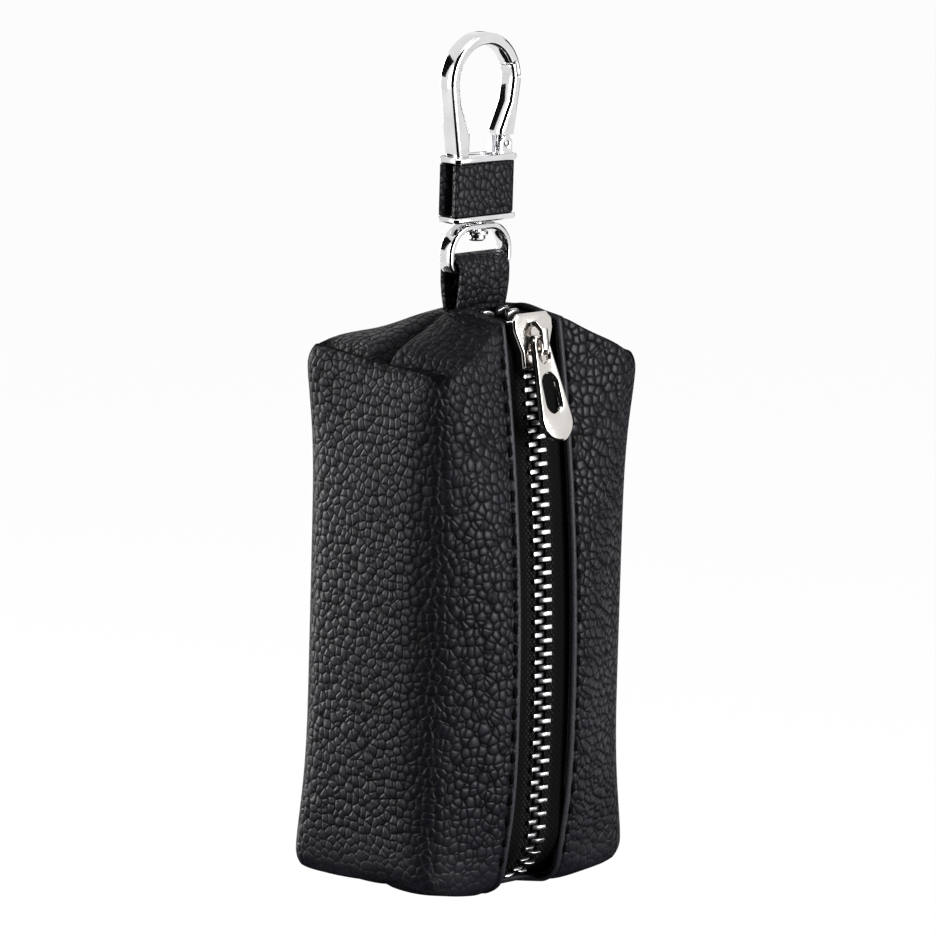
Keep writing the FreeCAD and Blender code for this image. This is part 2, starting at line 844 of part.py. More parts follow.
def flange_loop(top, side):
    """Rim down one edge of a wing; side is +1 on the right."""
    near = s.tail_half - s.flange_wall
    far = s.crown_half - s.flange_wall
    corners = [
        (near, -s.slider_tail),
        (s.tail_half, -s.slider_tail),
        (s.tail_half, -s.flare_low),
        (s.crown_half, s.flare_high),
        (s.crown_half, top),
        (far, top),
        (far, s.flare_high),
        (near, -s.flare_low),
    ]
    if side > 0:
        return corners
    return [(-c[0], c[1]) for c in corners]


wing_sketch = new_sketch(slider, "outer_wing", "XZ_Plane", [wing_loop(s.slider_crown)], (), s.wing_gap)
pad(slider, wing_sketch, s.wing_thick)
wing_face = (-float(s.wing_gap + s.wing_thick),)
soften(slider, s.wing_round, lambda e: lies_at(e, "y", wing_face))
rim_top = s.slider_crown - s.crown_cut
rim_sketch = new_sketch(slider, "outer_rims", "XZ_Plane",
                        [flange_loop(rim_top, 1), flange_loop(rim_top, -1)], (), s.flange_gap)
pad(slider, rim_sketch, s.wing_gap - s.flange_gap)
neck_sketch = new_sketch(slider, "diamond", "XZ_Plane", [[
    (zero, s.neck_tip),
    (s.neck_half_width, s.neck_wide),
    (s.neck_half_width, s.slider_inner_crown),
    (-s.neck_half_width, s.slider_inner_crown),
    (-s.neck_half_width, s.neck_wide),
]])
pad(slider, neck_sketch, s.wing_gap * 2, True)
inner_sketch = new_sketch(slider, "inner_wing", "XZ_Plane", [inner_wing_loop()], (),
                          -(s.wing_gap + s.inner_wing_thick))
pad(slider, inner_sketch, s.inner_wing_thick)
inner_rims = new_sketch(slider, "inner_rims", "XZ_Plane",
                        [flange_loop(s.slider_inner_crown, 1), flange_loop(s.slider_inner_crown, -1)],
                        (), -s.wing_gap)
pad(slider, inner_rims, s.wing_gap - s.flange_gap)
deck = s.wing_gap + s.wing_thick
crest = deck + s.bridge_rise
under = crest - s.bridge_bar
foot = deck - s.wing_round
bridge_sketch = new_sketch(slider, "bridge", "YZ_Plane", [[
    (-foot, s.bridge_top),
    (-(crest - s.bridge_bevel * bridge_nose_share), s.bridge_top),
    (-crest, s.bridge_top - s.bridge_bevel * bridge_nose_share),
    (-crest, -(s.bridge_low - s.bridge_bevel)),
    (-(crest - s.bridge_bevel), -s.bridge_low),
    (-foot, -s.bridge_low),
    (-foot, -(s.bridge_low - s.bridge_bar)),
    (-(under - s.bridge_bevel / 2), -(s.bridge_low - s.bridge_bar)),
    (-under, -(s.bridge_low - s.bridge_bar - s.bridge_bevel / 2)),
    (-under, s.bridge_top - s.bridge_bar - s.bridge_bevel),
    (-(under - s.bridge_bevel), s.bridge_top - s.bridge_bar),
    (-foot, s.bridge_top - s.bridge_bar),
]])
pad(slider, bridge_sketch, s.bridge_half * 2, True)

lean = arcsine((arc_drop - slider_drop) / s.zip_arc)
lean_cos = cosine(lean)
lean_sin = sine(lean)
slider_y = (s.zip_arc - s.zip_front) - s.zip_arc * lean_cos
back_lean = FreeCAD.Vector(-1, 0, 0)
set_place(slider, zero, slider_y, -slider_drop, back_lean, lean)

# pull tab, made about its cross bar and hanging from the bridge

tab = new_body("pull_tab")
flare_cos = cosine(s.tab_flare_angle)
flare_sin = sine(s.tab_flare_angle)
end_round = s.tab_top_round + s.tab_reach * flare_sin
top_centre = s.tab_top_round - s.tab_head
end_centre = top_centre + s.tab_reach


def slot_loop(half, start, end):
    """Upright slot with round ends."""
    return [
        (half, -(end - half)),
        (half, -(start + half), half, -1),
        (zero, -start, half, -1),
        (-half, -(start + half)),
        (-half, -(end - half), half, -1),
        (zero, -end, half, -1),
    ]


tab_sketch = new_sketch(tab, "tab_outline", "XZ_Plane", [[
    (s.tab_top_round * flare_cos, -(top_centre - s.tab_top_round * flare_sin), s.tab_top_round, -1),
    (zero, s.tab_head, s.tab_top_round, -1),
    (-(s.tab_top_round * flare_cos), -(top_centre - s.tab_top_round * flare_sin)),
    (-(end_round * flare_cos), -(end_centre - end_round * flare_sin), end_round, -1),
    (zero, -(end_centre + end_round), end_round, -1),
    (end_round * flare_cos, -(end_centre - end_round * flare_sin)),
], slot_loop(s.eyelet_half, s.eyelet_start, s.eyelet_end),
    slot_loop(s.oval_half, s.oval_start, s.oval_end)])
pad(tab, tab_sketch, s.tab_thick, True)
tab_faces = (s.tab_thick.value / 2, -s.tab_thick.value / 2)
soften(tab, s.tab_round, lambda e: lies_at(e, "y", tab_faces))
bar_sketch = new_sketch(tab, "cross_bar", "YZ_Plane", [], [(zero, zero, s.tab_bar_radius)])
pad(tab, bar_sketch, s.tab_bar_length, True)
hang = deck + s.tab_lift
tab_y = slider_y - hang * lean_cos + s.tab_seat * lean_sin
tab_z = -slider_drop + hang * lean_sin + s.tab_seat * lean_cos
set_place(tab, zero, tab_y, tab_z, back_lean, lean + s.tab_lean_angle)

# pouch outlines, as corner points with a radius each, seen along one axis

bottom_drop = float(roof_drop) + float(s.case_height)
skin = float(s.leather) + float(s.tape_thick) / 2
arc_radius = float(s.zip_arc) + skin
arc_y = float(s.zip_arc) - float(s.zip_front)
arc_z = -float(arc_drop)


def crossing(point, way, other, other_way):
    """Where two straight lines in a plane meet."""
    base = way[0] * other_way[1] - way[1] * other_way[0]
    gap = (other[0] - point[0], other[1] - point[1])
    run = (gap[0] * other_way[1] - gap[1] * other_way[0]) / base
    return (point[0] + way[0] * run, point[1] + way[1] * run)


def side_outline():
    """Seen from the side, (y, z): roof, one long zip arc, bottom; the back mirrors the front."""
    high = math.asin((float(arc_drop) - float(arc_top_drop)) / arc_radius)
    low = math.asin((bottom_drop - float(s.arc_end_rise) - float(arc_drop)) / arc_radius)
    mean = (high - low) / 2
    reach = arc_radius / math.cos((high + low) / 2)
    belly = (arc_y - reach * math.cos(mean), arc_z + reach * math.sin(mean))
    top_end = (arc_y - arc_radius * math.cos(high), arc_z + arc_radius * math.sin(high))
    low_end = (arc_y - arc_radius * math.cos(low), arc_z - arc_radius * math.sin(low))
    roof = math.radians(float(s.roof_slope_angle))
    base = math.radians(float(s.base_slope_angle))
    peak = (0.0, -float(roof_drop))
    keel = (0.0, -bottom_drop)
    brow = crossing(top_end, (math.sin(high), math.cos(high)), peak, (-math.cos(roof), -math.sin(roof)))
    chin = crossing(low_end, (math.sin(low), -math.cos(low)), keel, (-math.cos(base), math.sin(base)))
    front = [brow, belly, chin]
    points = [peak] + front + [keel] + [(-y, z) for y, z in reversed(front)]
    bends = [float(s.top_bend), arc_radius, float(s.bottom_bend)]
    radii = [float(s.ridge_round)] + bends + [float(s.keel_round)] + bends[::-1]
    return points, radii


def front_outline():
    """Seen from the front, (x, z)."""
    half = float(s.case_width) / 2
    wide = half + float(s.side_bulge)
    middle = -(float(shoulder_drop) + bottom_drop - float(s.foot_rise)) / 2
    right = [
        (float(s.foot_half), -bottom_drop),
        (half, -(bottom_drop - float(s.foot_rise))),
        (wide, middle),
        (half, -float(shoulder_drop)),
        (float(s.slope_half), -float(slope_drop)),
        (float(s.crest_half), -float(crest_drop)),
    ]
    bends = [float(s.belly_round), float(s.foot_round), float(s.case_height) * side_sweep_share,
             float(s.shoulder_round), float(s.slope_round), float(s.crest_round)]
    points = right + [(-x, z) for x, z in reversed(right)]
    return points, bends + bends[::-1]


def plan_outline():
    """Seen from above, (x, y)."""
    half = float(s.case_width) / 2
    deep = float(s.case_depth) / 2
    right = [
        (float(s.front_flat), -float(s.plan_front)),
        (half, -deep),
        (half + float(s.side_bulge), 0.0),
        (half, deep),
        (float(s.front_flat), float(s.plan_front)),
    ]
    bends = [float(s.plan_soft), float(s.corner_round), float(s.side_bend),
             float(s.corner_round), float(s.plan_soft)]
    points = right + [(-x, y) for x, y in reversed(right)]
    return points, bends + bends[::-1]


def moved_in(points, inset):
    """The same outline with every side moved inwards."""
    count = len(points)
    ways = []
    for i in range(count):
        a = points[i]
        b = points[(i + 1) % count]
        length = math.hypot(b[0] - a[0], b[1] - a[1])
        ways.append(((b[0] - a[0]) / length, (b[1] - a[1]) / length))
    starts = [(points[i][0] - ways[i][1] * inset, points[i][1] + ways[i][0] * inset)
              for i in range(count)]
    return [crossing(starts[i - 1], ways[i - 1], starts[i], ways[i]) for i in range(count)]


def outline_edges(outline, inset, seat, plain=False):
    """Lines and arcs of a rounded outline; plain ones have two flats in place of a small arc."""
    points, radii = outline
    points = moved_in(points, inset)
    count = len(points)
    corners = []
    for i in range(count):
        before = points[i - 1]
        here = points[i]
        after = points[(i + 1) % count]
        back = FreeCAD.Vector(before[0] - here[0], before[1] - here[1], 0)
        on = FreeCAD.Vector(after[0] - here[0], after[1] - here[1], 0)
        turn = math.pi - back.getAngle(on)
        radius = max(radii[i] - inset, float(s.layer_gap))
        corners.append([here, back, on, turn, radius * math.tan(turn / 2)])
    shares = [1.0] * count
    for i in range(count):
        after = (i + 1) % count
        room = corners[i][2].Length
        need = corners[i][4] + corners[after][4]
        if need > room:
            shares[i] = min(shares[i], room / need)
            shares[after] = min(shares[after], room / need)
    edges = []
    ends = []
    for i in range(count):
        here, back, on, turn, reach = corners[i]
        reach = reach * shares[i]
        middle = FreeCAD.Vector(here[0], here[1], 0)
        first = middle + back.normalize() * reach
        last = middle + on.normalize() * reach
        radius = reach / math.tan(turn / 2)
        inward = (first + last) * 0.5 - middle
        sag = radius / math.cos(turn / 2) - radius
        top = middle + inward.normalize() * sag
        ends.append((first, top, last))
    for i in range(count):
        first, top, last = ends[i]
        if plain and radii[i] < float(s.case_height) / 2:
            edges.append(Part.LineSegment(seat(first), seat(top)).toShape())
            edges.append(Part.LineSegment(seat(top), seat(last)).toShape())
        else:
            edges.append(Part.Arc(seat(first), seat(top), seat(last)).toShape())
        nxt = ends[(i + 1) % count][0]
        if (nxt - last).Length > 1e-5:
            edges.append(Part.LineSegment(seat(last), seat(nxt)).toShape())
        else:
            edges.append(None)
    return edges


span = float(s.case_height) * clear_share


def seat_side(p):
    return FreeCAD.Vector(0, p.x, p.y)


def seat_front(p):
    return FreeCAD.Vector(p.x, 0, p.y)


def seat_plan(p):
    return FreeCAD.Vector(p.x, p.y, 0)


def block(outline, inset, seat, way, plain=False):
    """The outline drawn out far both ways along its axis."""
    edges = [e for e in outline_edges(outline, inset, seat, plain) if e is not None]
    face = Part.Face(Part.Wire(Part.__sortEdges__(edges)))
    face.translate(way * (-span / 2))
    return face.extrude(way * span)


along_x = FreeCAD.Vector(1, 0, 0)
along_y = FreeCAD.Vector(0, 1, 0)
along_z = FreeCAD.Vector(0, 0, 1)


def side_block(inset, plain=False):
    return block(side_outline(), inset, seat_side, along_x, plain)


def pouch(inset, plain=False, plain_side=False):
    """The pillow of the pouch, shrunk by the inset."""
    body = side_block(inset, plain_side).common(block(front_outline(), inset, seat_front, along_y, plain))
    plan = block(plan_outline(), inset, seat_plan, along_z, plain)
    return body.common(plan)


def box_between(x0, x1, y0, y1, z0, z1):
    corner = FreeCAD.Vector(x0, y0, z0)
    return Part.makeBox(x1 - x0, y1 - y0, z1 - z0, corner)


def front_slot(width):
    """Opening down the front, from the hanger loop over the roof and under the bottom."""
    half = width / 2
    return box_between(-half, half, -span, -float(s.zip_end), -span, span)


def seam_slot():
    """Room in the top seam for the legs of the hanger loop."""
    half = float(strap_width) / 2 + float(s.seam_gap)
    deep = float(strap_depth) / 2 + float(s.seam_gap)
    return box_between(-half, half, -deep, deep, -float(strap_end_drop) - float(s.strap_leather), span)


def feature(node, shape):
    thing = doc.addObject("Part::Feature", node)
    thing.Shape = shape
    thing.Placement = FreeCAD.Placement()
    return keep(thing, node)


leather_in = float(s.leather)
tape_out = leather_in + float(s.layer_gap)
tape_in = leather_in + float(s.tape_thick)
lining_out = tape_in + float(s.layer_gap)
lining_in = lining_out + float(s.lining_cloth)

shell = pouch(0.0).cut(pouch(leather_in, True))
shell = shell.cut(front_slot(float(s.zip_slot))).cut(seam_slot())
feature("leather_shell", shell)

bag = pouch(lining_out, True, True).cut(pouch(lining_in, True, True))
bag = bag.cut(front_slot(float(s.lining_slot))).cut(seam_slot())
feature("lining", bag)

# zip tapes: strips along the zip line, drawn apart above the slider

lean_top = -float(slider_drop)


def tape_cutter():
    """Room between the tapes, seen from the front: narrow, then wide above the slider."""
    low = float(s.tape_edge)
    high = float(s.tape_edge) + float(s.spread)
    ramp = float(s.pitch)
    corners = [
        (-low, -span), (low, -span), (low, lean_top - ramp), (high, lean_top + ramp / 2),
        (high, span), (-high, span), (-high, lean_top + ramp / 2), (-low, lean_top - ramp),
    ]
    points = [FreeCAD.Vector(x, -span, z) for x, z in corners]
    face = Part.Face(Part.makePolygon(points + points[:1]))
    return face.extrude(along_y * span * 2)


strip = side_block(tape_out).cut(side_block(tape_in))
strip = strip.common(block(front_outline(), tape_out, seat_front, along_y, True))
strip = strip.common(block(plan_outline(), tape_out, seat_plan, along_z, True))
half_tape = float(s.tape_half)
strip = strip.common(box_between(-half_tape, half_tape, -span, -float(s.zip_end), -span, span))
strip = strip.cut(tape_cutter())
tapes = sorted(strip.Solids, key=lambda solid: solid.CenterOfMass.x)
feature("zip_tape_left", tapes[0])
feature("zip_tape_right", tapes[-1])

# zip teeth: each clamps the tape's edge and reaches across the middle

zip_edges = outline_edges(side_outline(), skin, seat_side)[1:8]
zip_edges = [e for e in zip_edges if e is not None]
lengths = [e.Length for e in zip_edges]


def zip_place(distance):
    """Point on the chain and the way onwards, at a distance from the ridge."""
    for edge, length in zip(zip_edges, lengths):
        if distance <= length:
            start = edge.getParameterByLength(max(distance, 0.0))
            ahead = edge.tangentAt(start)
            return edge.valueAt(start), ahead
        distance = distance - length
    raise RuntimeError("past the end of the zip")


def distance_to_slider():
    """Length of chain from the ridge down to the middle of the slider."""
    walked = 0.0
    for edge, length in zip(zip_edges, lengths):
        if edge.BoundBox.ZMin < lean_top < edge.BoundBox.ZMax and length > float(s.case_height) / 4:
            angle_top = math.asin((edge.valueAt(edge.FirstParameter).z - arc_z) / float(s.zip_arc))
            angle_here = math.asin((lean_top - arc_z) / float(s.zip_arc))
            return walked + (angle_top - angle_here) * float(s.zip_arc)
        walked = walked + length
    raise RuntimeError("slider off the zip")


def tooth(side, shift):
    """One tooth about the middle of the chain; x across, y outwards, z along."""
    half = float(s.tooth_half)
    tall = float(s.tooth_height) / 2
    slit = float(s.tooth_slit)
    root = float(s.tooth_root)
    head = float(s.tooth_head)
    waist = head * tooth_waist_share
    tip = tall * tooth_tip_share
    corners = [
        (-head, -tip), (waist, -tall), (half, -tall), (half, -slit), (root, -slit),
        (root, slit), (half, slit), (half, tall), (waist, tall), (-head, tip),
    ]
    thick = float(s.tooth_thick)
    points = [FreeCAD.Vector(side * (x + shift), y, -thick / 2) for x, y in corners]
    face = Part.Face(Part.makePolygon(points + points[:1]))
    return face.extrude(along_z * thick)


def tooth_row(side):
    """All teeth of one row; the left row lies half a pitch further on."""
    pitch = float(s.pitch)
    middle = distance_to_slider()
    total = sum(lengths)
    offset = 0.0 if side > 0 else pitch / 2
    ramp = pitch / 2
    crown = float(s.slider_inner_crown)
    solids = []
    first = -int(middle / pitch)
    last = int((total - middle) / pitch)
    for k in range(first, last + 1):
        along = k * pitch + offset
        distance = middle + along
        if distance < pitch / 4 or distance > total - pitch / 4:
            continue
        point, ahead = zip_place(distance)
        if point.y > -float(s.zip_end) - pitch / 4:
            continue
        bent = abs(ahead.y) > steep_share and abs(ahead.z) > steep_share and along < 0
        if bent or -float(s.slider_crown) - pitch < along < -crown + pitch / 4:
            continue
        share = min(max((ramp - along) / (ramp + crown * ramp_share), 0.0), 1.0)
        solid = tooth(side, float(s.spread) * share)
        outward = ahead.cross(along_x) * -1
        if outward.y > 0 and abs(ahead.z) > steep_share:
            outward = outward * -1
        turn = FreeCAD.Rotation(along_x, outward, ahead, "ZYX")
        solid.Placement = FreeCAD.Placement(point, turn)
        solids.append(solid)
    return Part.makeCompound(solids)


feature("zip_teeth_left", tooth_row(-1))
feature("zip_teeth_right", tooth_row(1))

doc.recompute()

# every piece is checked, then written out

faulty = [t.Name for t in doc.Objects if "Invalid" in t.State or "Error" in t.State]
if faulty:
    raise RuntimeError("not built: " + ", ".join(faulty))
os.makedirs("parts", exist_ok=True)
unsound = [n for n, t in NODES if t.Shape.isNull() or not t.Shape.isValid() or not t.Shape.Solids]
if unsound:
    raise RuntimeError("bad shape: " + ", ".join(unsound))
for node, thing in NODES:
    shape = thing.Shape
    print("%-16s solids %3d volume %9.2f" % (node, len(shape.Solids), shape.Volume))
    shape.exportStep("parts/%s.step" % node)
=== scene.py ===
import json
import math

import bpy
import numpy as np
from mathutils import Matrix, Vector

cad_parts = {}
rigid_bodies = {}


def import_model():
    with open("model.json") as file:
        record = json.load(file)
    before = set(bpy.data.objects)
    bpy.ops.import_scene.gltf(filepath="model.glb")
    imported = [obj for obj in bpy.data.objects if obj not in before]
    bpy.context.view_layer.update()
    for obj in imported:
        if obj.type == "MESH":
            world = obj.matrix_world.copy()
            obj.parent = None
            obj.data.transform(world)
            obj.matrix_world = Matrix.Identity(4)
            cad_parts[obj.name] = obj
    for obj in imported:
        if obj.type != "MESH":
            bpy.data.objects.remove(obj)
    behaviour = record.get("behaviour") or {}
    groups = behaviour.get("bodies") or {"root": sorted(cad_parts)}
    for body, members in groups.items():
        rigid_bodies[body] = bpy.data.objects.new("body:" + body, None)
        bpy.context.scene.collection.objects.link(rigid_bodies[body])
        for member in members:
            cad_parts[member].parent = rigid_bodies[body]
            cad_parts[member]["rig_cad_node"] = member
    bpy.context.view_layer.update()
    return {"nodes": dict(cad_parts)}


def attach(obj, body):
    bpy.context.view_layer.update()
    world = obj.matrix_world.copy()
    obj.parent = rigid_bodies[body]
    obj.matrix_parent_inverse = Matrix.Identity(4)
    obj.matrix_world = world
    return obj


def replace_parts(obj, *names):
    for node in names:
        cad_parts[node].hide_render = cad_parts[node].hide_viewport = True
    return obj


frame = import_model()
nodes = frame["nodes"]

# Lengths are millimetres in the row's frame until a mesh is put to size.
MM = 0.001
IN_MM = 1000.0
NEAR = 1e-4
WHITE = (1.0, 1.0, 1.0, 1.0)


# Modelling by hand

def alone(piece):
    """Only this piece is selected, and it is the active one."""
    bpy.ops.object.select_all(action="DESELECT")
    piece.select_set(True)
    bpy.context.view_layer.objects.active = piece


def primitive(kind, name, **sizes):
    bpy.ops.object.select_all(action="DESELECT")
    getattr(bpy.ops.mesh, "primitive_%s_add" % kind)(**sizes)
    piece = bpy.context.object
    piece.name = name
    piece.data.name = name
    return piece


def settle(piece):
    """Its place, turn and scale go into its mesh."""
    alone(piece)
    bpy.ops.object.transform_apply(location=True, rotation=True, scale=True)


def open_mesh(piece, select="SELECT"):
    """Edit mode on the piece, with all of it selected or none."""
    alone(piece)
    bpy.ops.object.mode_set(mode="EDIT")
    bpy.ops.mesh.select_all(action=select)


def close_mesh():
    bpy.ops.object.mode_set(mode="OBJECT")


def cut_lines(piece, axis, places):
    """Edge lines right round the piece, square to an axis."""
    way = [0.0, 0.0, 0.0]
    way[axis] = 1.0
    open_mesh(piece)
    for place in places:
        bpy.ops.mesh.select_all(action="SELECT")
        bpy.ops.mesh.bisect(plane_co=[place * w for w in way], plane_no=way, threshold=0.001)
    close_mesh()


def drop_faces(piece, unwanted):
    """Delete the faces whose middle the test picks out."""
    open_mesh(piece, "DESELECT")
    close_mesh()
    for face in piece.data.polygons:
        face.select = bool(unwanted(face.center))
    bpy.ops.object.mode_set(mode="EDIT")
    bpy.ops.mesh.select_mode(type="FACE")
    bpy.ops.mesh.delete(type="FACE")
    close_mesh()


def face_out(piece):
    open_mesh(piece)
    bpy.ops.mesh.normals_make_consistent(inside=False)
    close_mesh()


def work(piece, kind, **settings):
    """Add a modifier and apply it."""
    modifier = piece.modifiers.new(kind.lower(), kind)
    for key, value in settings.items():
        setattr(modifier, key, value)
    alone(piece)
    bpy.ops.object.modifier_apply(modifier=modifier.name)


def smooth(piece, angle=None):
    alone(piece)
    if angle is None:
        bpy.ops.object.shade_smooth()
    else:
        bpy.ops.object.shade_smooth_by_angle(angle=math.radians(angle))


def spots(piece):
    flat = np.empty(len(piece.data.vertices) * 3)
    piece.data.vertices.foreach_get("co", flat)
    return flat.reshape(-1, 3)


def place_spots(piece, where):
    piece.data.vertices.foreach_set("co", np.asarray(where, float).ravel())
    piece.data.update()


def joined(name, pieces):
    alone(pieces[0])
    for piece in pieces:
        piece.select_set(True)
    bpy.ops.object.join()
    whole = bpy.context.object
    whole.name = name
    whole.data.name = name
    return whole


# Finishes

class Wire:
    """A node's output; sums on it add Math nodes."""

    def __init__(self, owner, socket):
        self.owner = owner
        self.socket = socket

    def sum(self, kind, *others):
        return self.owner.node("ShaderNodeMath", {"operation": kind}, [self, *others])

    def __add__(self, other):
        return self.sum("ADD", other)

    __radd__ = __add__

    def __mul__(self, other):
        return self.sum("MULTIPLY", other)

    __rmul__ = __mul__

    def __sub__(self, other):
        return self.sum("SUBTRACT", other)

    def __rsub__(self, other):
        return self.owner.node("ShaderNodeMath", {"operation": "SUBTRACT"}, [other, self])

    def size(self):
        return self.sum("ABSOLUTE")

    def sine(self):
        return self.sum("SINE")

    def most(self, other):
        return self.sum("MAXIMUM", other)

    def step(self, low, high):
        """0 below low, 1 above high, smooth between."""
        return self.owner.node("ShaderNodeMapRange", {"interpolation_type": "SMOOTHSTEP"},
                               {"Value": self, "From Min": low, "From Max": high})

    def band(self, rise, fall):
        """1 between a rising step and a falling one."""
        return self.step(*rise) * (1.0 - self.step(*fall))


class Nodes:
    """A tree of shader nodes, all added by one method."""

    def __init__(self, tree):
        self.tree = tree

    def node(self, kind, settings=None, sockets=None, out=0):
        """A node with its settings, then the values or wires of its sockets; gives one output."""
        made = self.tree.nodes.new(kind)
        for key, value in (settings or {}).items():
            setattr(made, key, value)
        pairs = sockets.items() if isinstance(sockets, dict) else enumerate(sockets or [])
        for key, value in pairs:
            self.feed(made.inputs[key], value)
        return Wire(self, made.outputs[out])

    def feed(self, socket, value):
        if isinstance(value, Wire):
            self.tree.links.new(value.socket, socket)
        else:
            socket.default_value = value

    def seen_white(self):
        """1 for rays that show the background: from the camera, from gloss and through glass."""
        camera, gloss, glass = (self.node("ShaderNodeLightPath", out="Is %s Ray" % kind)
                                for kind in ("Camera", "Glossy", "Transmission"))
        return camera.most(gloss).most(glass)


class Finish(Nodes):
    """A material of shader nodes on one Principled shader."""

    def __init__(self, name, **shader):
        self.material = bpy.data.materials.new(name)
        self.material.use_nodes = True
        super().__init__(self.material.node_tree)
        self.shader = self.tree.nodes["Principled BSDF"]
        self.shade(**shader)

    def shade(self, **values):
        """Values or wires for the shader's sockets."""
        for key, value in values.items():
            title = key.replace("_", " ").title().replace("Ior", "IOR")
            self.feed(self.shader.inputs[title], value)

    def cover(self, share, layer):
        """A second shader over the first, by share."""
        first = Wire(self, self.shader.outputs[0])
        blend = self.node("ShaderNodeMixShader", None, [share, first, layer])
        self.feed(self.tree.nodes["Material Output"].inputs["Surface"], blend)

    def spot(self):
        return self.node("ShaderNodeTexCoord", out="Object")

    def facing(self, axis):
        """How far the surface faces along an axis of the piece, from -1 to 1."""
        return self.part(self.node("ShaderNodeTexCoord", out="Normal"), axis)

    def part(self, vector, axis):
        return self.node("ShaderNodeSeparateXYZ", None, [vector], out=axis)

    def noise(self, spot, scale, detail=2.0, rough=0.5, out="Fac"):
        return self.node("ShaderNodeTexNoise", None,
                         {"Vector": spot, "Scale": scale, "Detail": detail, "Roughness": rough}, out)

    def mixed(self, share, first, second):
        return self.node("ShaderNodeMix", {"data_type": "RGBA"}, {0: share, 6: first, 7: second}, 2)

    def bumped(self, height, strength, distance, under=None):
        sockets = {"Height": height, "Strength": strength, "Distance": distance}
        if under is not None:
            sockets["Normal"] = under
        return self.node("ShaderNodeBump", None, sockets)


def put_on(piece, finish):
    piece.data.materials.clear()
    piece.data.materials.append(finish.material)
    "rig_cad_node" not in piece


def opaque(colour):
    return tuple(colour) + (1.0,)


class PouchZones:
    """Where the pouch's leather differs, and where shade and a highlight are painted on it, from 0 to 1
    over its surface; places are in millimetres.
    """

    def __init__(self, f, spot):
        across = f.part(spot, 0).size() * IN_MM
        deep = f.part(spot, 1) * IN_MM
        height = f.part(spot, 2) * IN_MM
        upward = f.facing(2).step(0.1, 0.5)
        front = 1.0 - deep.step(-4.5, -3.7)
        low = 1.0 - height.step(-121.0, -109.0)
        edge = (1.0 - across.step(6.1, 6.6)) * front
        # the grain is pulled flat over the turned edge, and fades towards the bottom
        self.grain = (1.0 - edge * 0.85) * (1.0 - low * 0.75)
        # painted shade on the upright corners: their pebbles are painted dark and their creases left
        # light
        self.corner = across.step(15.0, 19.5) * deep.size().step(8.0, 12.5)
        # painted highlight: the turned edge beside the zip gets a paler colour, standing in for its
        # sheen
        self.turned = (1.0 - across.step(6.1, 6.5)) * front * (1.0 - low * 0.9)
        # painted shade: on the tucked sides, the valley of the seam and the front flap where they face
        # up, and in the groove
        tucked = across.band((16.6, 19.4), (20.3, 20.7)) * 0.85
        valley = deep.band((-0.7, 0.4), (0.6, 4.0)) * across.step(2.0, 9.0) * 0.8
        flap = (1.0 - deep.step(-2.0, -0.5)) * 0.48
        groove = across.band((6.35, 6.5), (6.85, 7.05)) * front * 0.6
        self.shaded = (tucked.most(valley).most(flap) * upward).most(groove)


def grained_leather(name, cell, depth, on_pouch=False):
    """Black pebbled leather with painted shade in its creases, and on the pouch painted shade and a
    painted highlight by place; a pebble's size and height are in millimetres.
    """
    # painted shade: the creases' colour and the dark layer laid over them are darker than the leather's
    # own black
    painted_crease_shade, on_tops = (0.0012, 0.0012, 0.0015), (0.0058, 0.0058, 0.0086)
    wear_and_highlight, turned_edge_highlight = (0.0095, 0.0095, 0.0135), (0.024, 0.024, 0.028)
    shade = (0.0012, 0.0012, 0.0016)
    crease_shade_share = 0.55
    f = Finish(name, specular_ior_level=0.105)
    spot = f.spot()
    wander = f.noise(spot, 420.0, out="Color")
    moved = f.node("ShaderNodeVectorMath", {"operation": "MULTIPLY_ADD"},
                   [wander, (0.0007, 0.0007, 0.0007), spot])
    cells = {"Vector": moved, "Scale": 1.0 / (cell * MM), "Randomness": 0.85}
    round_top = f.node("ShaderNodeTexVoronoi", {"feature": "F1"}, cells, "Distance")
    rim = f.node("ShaderNodeTexVoronoi", {"feature": "DISTANCE_TO_EDGE"}, cells, "Distance")
    pores = f.noise(spot, 9000.0, 3.0, 0.6)
    patch = f.noise(spot, 90.0)
    pebble = (1.0 - round_top * round_top * 1.3) * 0.75 + rim.step(0.0, 0.2) * 0.25
    # painted shade over the creases
    painted_shade = (1.0 - rim.step(0.0, 0.14)) * crease_shade_share
    if on_pouch:
        zone = PouchZones(f, spot)
        pebble = pebble * zone.grain + (1.0 - zone.grain) * 0.8
        # painted shade on the pebbles of the upright corners, in place of the creases' shade there
        shaded_corner_cells = zone.corner * rim.step(0.05, 0.2) * crease_shade_share
        painted_shade = (painted_shade * zone.grain * (1.0 - zone.corner) + shaded_corner_cells).most(zone.shaded)
    colour = f.mixed(pebble, opaque(painted_crease_shade), opaque(on_tops))
    colour = f.mixed(patch.step(0.45, 0.8) * 0.3, colour, opaque(wear_and_highlight))
    if on_pouch:
        # painted highlight on the turned edge beside the zip
        colour = f.mixed(zone.turned * 0.7, colour, opaque(turned_edge_highlight))
    rough = 0.52 - pebble * 0.18 + (patch - 0.5) * 0.12 + (pores - 0.5) * 0.10
    grain = f.bumped(pebble, 1.0, depth * MM)
    f.shade(base_color=colour, roughness=rough, normal=f.bumped(pores, 0.12, 0.00004, grain))
    # the painted shade goes on as a dark, dull layer over the leather
    f.cover(painted_shade, f.node("ShaderNodeBsdfPrincipled", None,
                         {"Base Color": opaque(shade), "Roughness": 1.0, "Specular IOR Level": 0.0}))
    return f


def polished(name, colour, rough):
    """Plated metal with faint handling marks."""
    f = Finish(name, metallic=1.0)
    spot = f.spot()
    film = f.noise(spot, 260.0, 3.0)
    specks = f.noise(spot, 5200.0)
    dull = [c * 0.86 for c in colour]
    f.shade(base_color=f.mixed(film.step(0.35, 0.75), opaque(colour), opaque(dull)),
            roughness=rough + (film - 0.5) * 0.06 + (specks - 0.5) * 0.03,
            normal=f.bumped(specks, 0.05, 0.00001))
    return f


